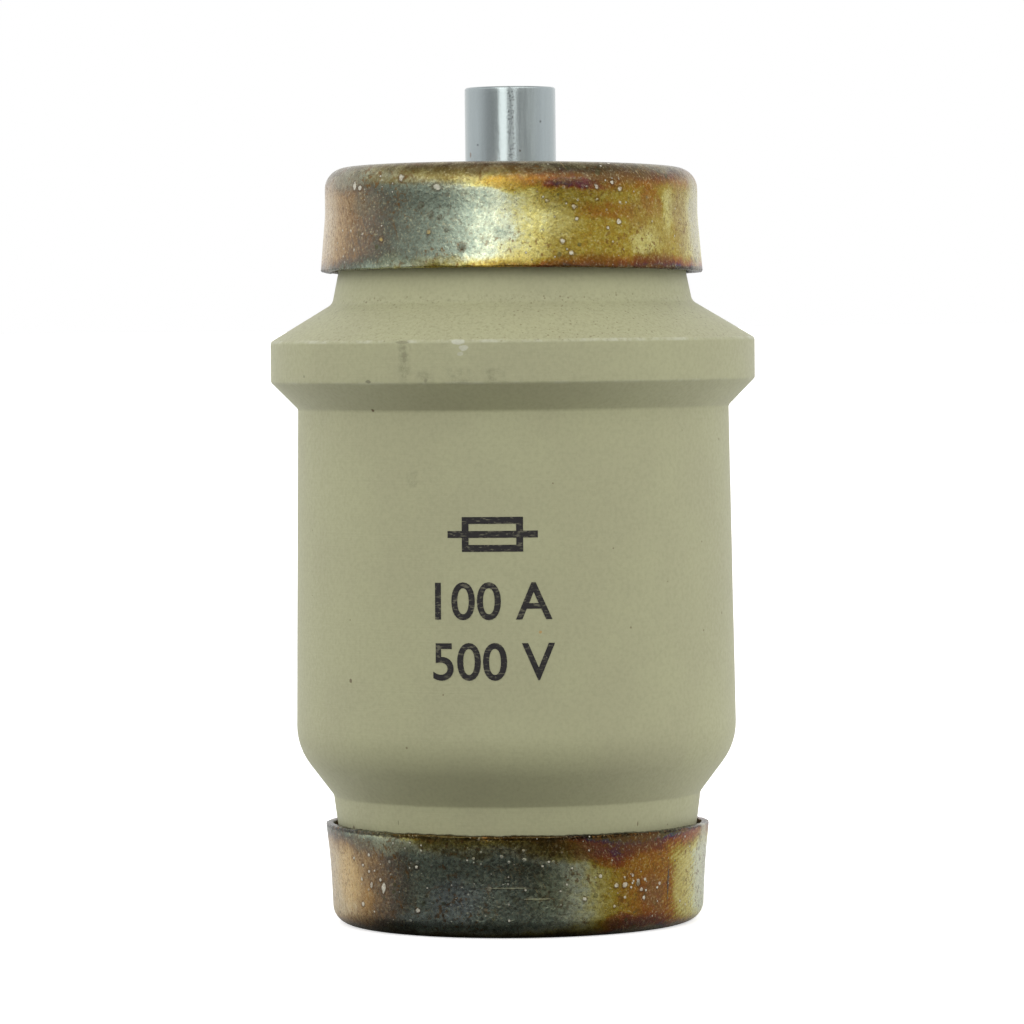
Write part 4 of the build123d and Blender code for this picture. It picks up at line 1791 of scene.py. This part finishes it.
@dataclass
class Print:
    """The printed rating and the fuse sign, wrapped round the ceramic as a thin film of ink."""

    surface: CeramicBody
    wrap_radius: float = 14.95
    lift: float = 0.006
    thickness: float = 0.014
    strip: float = 0.4
    current: Line = Line("100 A", 21.4)
    voltage: Line = Line("500 V", 17.4)
    type_height: float = 2.5
    type_weight: float = 0.01
    sign_left: float = -4.52
    sign_right: float = 1.54
    sign_middle: float = 27.05
    box_half_length: float = 2.05
    box_half_height: float = 1.15
    stroke: float = 0.46

    def build(self, material: bpy.types.Material) -> None:
        """Print everything.

        Args:
            material: the ink.
        """
        self.finish("printed_current_rating", [self.make_line(self.current)], material)
        self.finish("printed_voltage_rating", [self.make_line(self.voltage)], material)
        self.finish("printed_fuse_sign", [self.make_bar(bar) for bar in self.sign()], material)

    def sign(self) -> list[Bar]:
        """Lay out the fuse sign: a box with a line right through it."""
        centre, middle, half = (self.sign_left + self.sign_right) / 2, self.sign_middle, self.stroke / 2
        left, right = centre - self.box_half_length, centre + self.box_half_length
        low, high = middle - self.box_half_height, middle + self.box_half_height
        return [
            Bar(left, right, low, low + self.stroke),
            Bar(left, right, high - self.stroke, high),
            Bar(left, left + self.stroke, low + self.stroke, high - self.stroke),
            Bar(right - self.stroke, right, low + self.stroke, high - self.stroke),
            Bar(self.sign_left, left, middle - half, middle + half),
            Bar(left + self.stroke, right - self.stroke, middle - half, middle + half),
            Bar(right, self.sign_right, middle - half, middle + half),
        ]

    def make_line(self, line: Line) -> bpy.types.Object:
        """Set one line flat in the built-in face, at its own proportions, centred under the sign.

        Args:
            line: the line.

        Returns:
            A mesh with the length round the ceramic as X, the height as Y and its depth as Z.
        """
        bpy.ops.object.select_all(action="DESELECT")
        bpy.ops.object.text_add(location=(0, 0, 0))
        text = bpy.context.object
        text.data.body = line.words
        text.data.offset = self.type_weight
        text.data.resolution_u = 6
        text.data.extrude = 0.5
        bpy.ops.object.convert(target="MESH")
        piece = bpy.context.object
        xs = [vertex.co.x for vertex in piece.data.vertices]
        ys = [vertex.co.y for vertex in piece.data.vertices]
        scale = self.type_height / (max(ys) - min(ys))
        centre = (self.sign_left + self.sign_right) / 2
        for vertex in piece.data.vertices:
            x = centre + (vertex.co.x - (max(xs) + min(xs)) / 2) * scale
            y = line.low + (vertex.co.y - min(ys)) * scale
            vertex.co = Vector((x, y, vertex.co.z))
        return piece

    def make_bar(self, bar: Bar) -> bpy.types.Object:
        """Set one bar flat.

        Args:
            bar: the bar.

        Returns:
            A mesh placed like a character's.
        """
        bpy.ops.object.select_all(action="DESELECT")
        bpy.ops.mesh.primitive_cube_add(size=1)
        piece = bpy.context.object
        middle = Vector(((bar.left + bar.right) / 2, (bar.low + bar.high) / 2, 0))
        size = (bar.right - bar.left, bar.high - bar.low, 1)
        bpy.ops.object.mode_set(mode="EDIT")
        bpy.ops.mesh.select_all(action="SELECT")
        bpy.ops.transform.resize(value=size)
        bpy.ops.transform.translate(value=middle)
        bpy.ops.object.mode_set(mode="OBJECT")
        return piece

    def finish(self, name: str, parts: Sequence[bpy.types.Object],
               material: bpy.types.Material) -> bpy.types.Object:
        """Join flat parts, cut them into strips, and wrap them round the ceramic.

        Args:
            name: name of the finished piece.
            parts: the flat parts.
            material: the ink.

        Returns:
            The finished piece.
        """
        bpy.ops.object.select_all(action="DESELECT")
        for part in parts:
            part.select_set(True)
        bpy.context.view_layer.objects.active = parts[0]
        bpy.ops.object.join()
        piece = bpy.context.object
        piece.name = piece.data.name = name
        xs = [vertex.co.x for vertex in piece.data.vertices]
        cuts = math.ceil((max(xs) - min(xs)) / self.strip)
        bpy.ops.object.mode_set(mode="EDIT")
        bpy.ops.mesh.select_all(action="SELECT")
        bpy.ops.mesh.remove_doubles(threshold=0.0005)
        for cut in range(1, cuts):
            place = (min(xs) + cut * self.strip, 0, 0)
            bpy.ops.mesh.select_all(action="SELECT")
            bpy.ops.mesh.bisect(plane_co=place, plane_no=(1, 0, 0))
        bpy.ops.object.mode_set(mode="OBJECT")
        for vertex in piece.data.vertices:
            vertex.co = self.wrapped(vertex.co)
        bpy.ops.object.mode_set(mode="EDIT")
        bpy.ops.mesh.select_all(action="SELECT")
        bpy.ops.mesh.quads_convert_to_tris()
        bpy.ops.mesh.normals_make_consistent(inside=False)
        bpy.ops.object.mode_set(mode="OBJECT")
        return finish_mesh(piece, material, FUSE_BODY)

    def wrapped(self, flat: Vector) -> Vector:
        """Take a flat point round the ceramic: its Z, -0.5 to 0.5, becomes the ink's depth."""
        low, high = self.surface.shoulder, self.surface.waist
        share = (flat.y - low.height) / (high.height - low.height)
        radius = low.radius + (high.radius - low.radius) * share
        radius += self.lift + (flat.z + 0.5) * self.thickness
        angle = flat.x / self.wrap_radius
        return Vector((math.sin(angle) * radius, -math.cos(angle) * radius, flat.y)) * MM


@dataclass
class Indicator:
    """The red button in the head, which pops out when the fuse-link has blown."""

    radius: float = 2.7
    face: float = 0.35
    back: float = 1.15
    dish: float = 0.12
    edge: float = 0.28
    stem: float = 0.8
    stem_top: float = 3.2
    spacing: float = 0.2
    steps: int = 96

    def build(self, material: bpy.types.Material) -> bpy.types.Object:
        """Turn the button with its domed face and its stem, and dress it.

        Args:
            material: the red paint.

        Returns:
            The button.
        """
        corners = [
            Corner(0, self.face),
            Corner(self.radius * 0.45, self.face + self.dish * 0.25, 2.0),
            Corner(self.radius * 0.8, self.face + self.dish * 0.7, 1.0),
            Corner(self.radius, self.face + self.dish + 0.05, self.edge),
            Corner(self.radius, self.back, 0.12),
            Corner(self.stem, self.back, 0.15),
            Corner(self.stem, self.stem_top, 0.12),
            Corner(0, self.stem_top),
        ]
        points = outline_points(corners, self.spacing)
        piece = spin_outline("painted_indicator_button", points, self.steps, closed=False)
        return finish_mesh(piece, material, INDICATOR_BODY, ["indicator_button"])


@dataclass(frozen=True)
class InnerFinishes:
    """The finishes of the pieces that stay as the frame has them, by the names of the pieces."""

    brass: PlainFinish = PlainFinish("rolled_brass", from_srgb(206, 176, 112), from_srgb(160, 130, 74),
                                     1.0, 0.32, 1400.0, 0.01)
    fibre: PlainFinish = PlainFinish("pressed_fibre", from_srgb(176, 142, 104), from_srgb(134, 102, 70),
                                     0.0, 0.85, 2600.0, 0.05)
    copper: PlainFinish = PlainFinish("rolled_copper", from_srgb(208, 134, 98), from_srgb(150, 88, 60),
                                      1.0, 0.3, 1400.0, 0.01)
    solder: PlainFinish = PlainFinish("dull_solder", from_srgb(186, 186, 182), from_srgb(136, 138, 140),
                                      1.0, 0.45, 1200.0, 0.05)
    wire: PlainFinish = PlainFinish("drawn_wire", from_srgb(176, 172, 164), from_srgb(128, 124, 118),
                                    1.0, 0.3, 3000.0, 0.006)
    spring: PlainFinish = PlainFinish("spring_steel", from_srgb(168, 172, 176), from_srgb(112, 116, 122),
                                      1.0, 0.28, 3000.0, 0.006)
    steel: PlainFinish = PlainFinish("plated_washer", from_srgb(190, 196, 196), from_srgb(140, 146, 146),
                                     1.0, 0.35, 1600.0, 0.01)
    sand: PlainFinish = PlainFinish("quartz_sand", from_srgb(224, 212, 184), from_srgb(168, 150, 116),
                                    0.0, 0.8, 2200.0, 0.25)

    def table(self) -> dict[str, PlainFinish]:
        """Say which finish each piece takes, by the start of its name."""
        return {
            "head_contact_disc": self.brass, "foot_contact_disc": self.brass,
            "indicator_guide_cup": self.brass, "head_sealing_disc": self.fibre,
            "foot_sealing_disc": self.fibre, "fuse_strip": self.copper,
            "overload_solder_spot": self.solder, "head_solder_joints": self.solder,
            "foot_solder_joints": self.solder, "wire_solder_joint": self.solder,
            "indicator_wire": self.wire, "indicator_spring": self.spring,
            "pin_washer": self.steel, "quartz_sand": self.sand,
        }

    def dress(self) -> None:
        """Give every piece that stays from the frame its finish."""
        made: dict[str, bpy.types.Material] = {}
        for name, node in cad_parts.items():
            for start, finish in self.table().items():
                if not name.startswith(start):
                    continue
                if finish.name not in made:
                    made[finish.name] = finish.build()
                node.data.materials.clear()
                node.data.materials.append(made[finish.name])
                LOG.info("%s: %s", name, finish.name)
                break


@dataclass
class Studio:
    """Pale floor, soft light and the camera."""

    lens: float = 193.6
    distance: float = 377.0
    eye_height: float = 41.0
    aim_height: float = 28.0
    aim_side: float = -0.16
    roll_degrees: float = -0.6
    floor_size: float = 60.0
    dark_sector: float = 0.465

    def build(self, effects: Effects) -> None:
        """Set the whole studio up.

        Args:
            effects: shared effects.
        """
        self.add_camera()
        self.add_floor(effects)
        self.add_world()
        self.add_lights()

    def add_camera(self) -> None:
        """Place the camera level with the neck of the fuse-link, aimed a little down."""
        camera = bpy.data.objects.new("camera", bpy.data.cameras.new("camera"))
        bpy.context.scene.collection.objects.link(camera)
        camera.data.lens = self.lens
        camera.data.sensor_width = 36.0
        camera.data.clip_start = 0.01
        place = Vector((self.aim_side, -self.distance, self.eye_height)) * MM
        aim = Vector((self.aim_side, 0, self.aim_height)) * MM
        turn = (aim - place).to_track_quat("-Z", "Y").to_matrix().to_4x4()
        camera.matrix_world = turn
        camera.location = place
        camera.rotation_euler.rotate_axis("Z", math.radians(self.roll_degrees))
        bpy.context.scene.camera = camera

    def add_floor(self, effects: Effects) -> None:
        """Lay a pale floor, clear from below, that sends little light up to the front.

        Args:
            effects: shared effects.
        """
        bpy.ops.object.select_all(action="DESELECT")
        bpy.ops.mesh.primitive_plane_add(size=self.floor_size)
        floor = bpy.context.object
        floor.name = "pale_floor"
        coat = Coat("pale_floor")
        seen = coat.add("ShaderNodeLightPath").outputs["Is Camera Ray"]
        turn = coat.group(effects.polar, Place=coat.place)["Turn"]
        aside = coat.math("ABSOLUTE", coat.math("SUBTRACT", turn, self.dark_sector))
        sent_back = coat.range(aside, 0.07, 0.25, 0.05, 0.9)
        coat.set(Base_Color=coat.mix(seen, sent_back, (0.95, 0.95, 0.95)), Roughness=0.9,
                 Emission_Color=(1.0, 1.0, 1.0), Emission_Strength=coat.times(seen, 0.6))
        one_sided = coat.add("ShaderNodeMixShader")
        coat.feed(one_sided.inputs[0], coat.add("ShaderNodeNewGeometry").outputs["Backfacing"])
        coat.feed(one_sided.inputs[1], coat.shader.outputs[0])
        coat.feed(one_sided.inputs[2], coat.add("ShaderNodeBsdfTransparent").outputs[0])
        coat.feed(coat.tree.nodes["Material Output"].inputs["Surface"], one_sided.outputs[0])
        floor.data.materials.append(coat.material)

    def add_world(self) -> None:
        """Surround the fuse-link with white, greyer towards the front."""
        world = bpy.data.worlds.new("studio")
        bpy.context.scene.world = world
        world.use_nodes = True
        graph = Graph(world.node_tree)
        background = world.node_tree.nodes["Background"]
        direction = graph.add("ShaderNodeTexCoord").outputs["Generated"]
        parts = graph.add("ShaderNodeSeparateXYZ")
        graph.feed(parts.inputs[0], direction)
        ahead = graph.range(parts.outputs["Z"], 0.1, 0.35, 0.5, 1.28)
        around = graph.range(parts.outputs["Y"], -0.85, 0.1, ahead, 1.08)
        above = graph.range(parts.outputs["Z"], 0.6, 0.95, 1.0, 0.35)
        rays = graph.add("ShaderNodeLightPath")
        lit = graph.times(around, above)
        shade = graph.mix(rays.outputs["Is Camera Ray"], lit, (1.0, 1.0, 1.0))
        graph.feed(background.inputs["Color"], shade)

    def add_lights(self) -> None:
        """Hang the soft boxes: one overhead and two beside the camera."""
        self.add_panel("overhead", (0, -60, 420), (300, 300), 0.4)
        self.add_panel("front_left", (-150, -420, 120), (170, 420), 1.3)
        self.add_panel("front_right", (95, -440, 120), (60, 420), 0.96)

    def add_panel(self, name: str, place: tuple[float, float, float],
                  size: tuple[float, float], radiance: float) -> None:
        """Hang one soft box that faces the fuse-link.

        Args:
            name: name of the light.
            place: its centre in millimetres.
            size: its width and height in millimetres.
            radiance: brightness of its face.
        """
        light = bpy.data.lights.new(name, "AREA")
        light.shape = "RECTANGLE"
        light.size, light.size_y = size[0] * MM, size[1] * MM
        light.energy = radiance * math.pi * light.size * light.size_y
        panel = bpy.data.objects.new(name, light)
        bpy.context.scene.collection.objects.link(panel)
        panel.location = Vector(place) * MM
        aim = Vector((0, 0, self.aim_height)) * MM
        panel.rotation_euler = (aim - panel.location).to_track_quat("-Z", "Z").to_euler()


def main() -> None:
    """Build every piece in order, and then the studio."""
    logging.basicConfig(level=logging.INFO, format="%(message)s")
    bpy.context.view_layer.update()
    effects = Effects.build()
    ceramic = CeramicBody()
    ceramic.build(Steatite(effects).build())
    HeadCap().build(HeadTarnish().build(effects))
    FootCap().build(FootTarnish().build(effects))
    ContactPin().build(BrightSteel(effects).build())
    Print(ceramic).build(Ink().build())
    Indicator().build(RedPaint(effects).build())
    InnerFinishes().dress()
    Studio().build(effects)
    bpy.context.scene.view_settings.view_transform = "Standard"


if __name__ == "__main__":
    main()
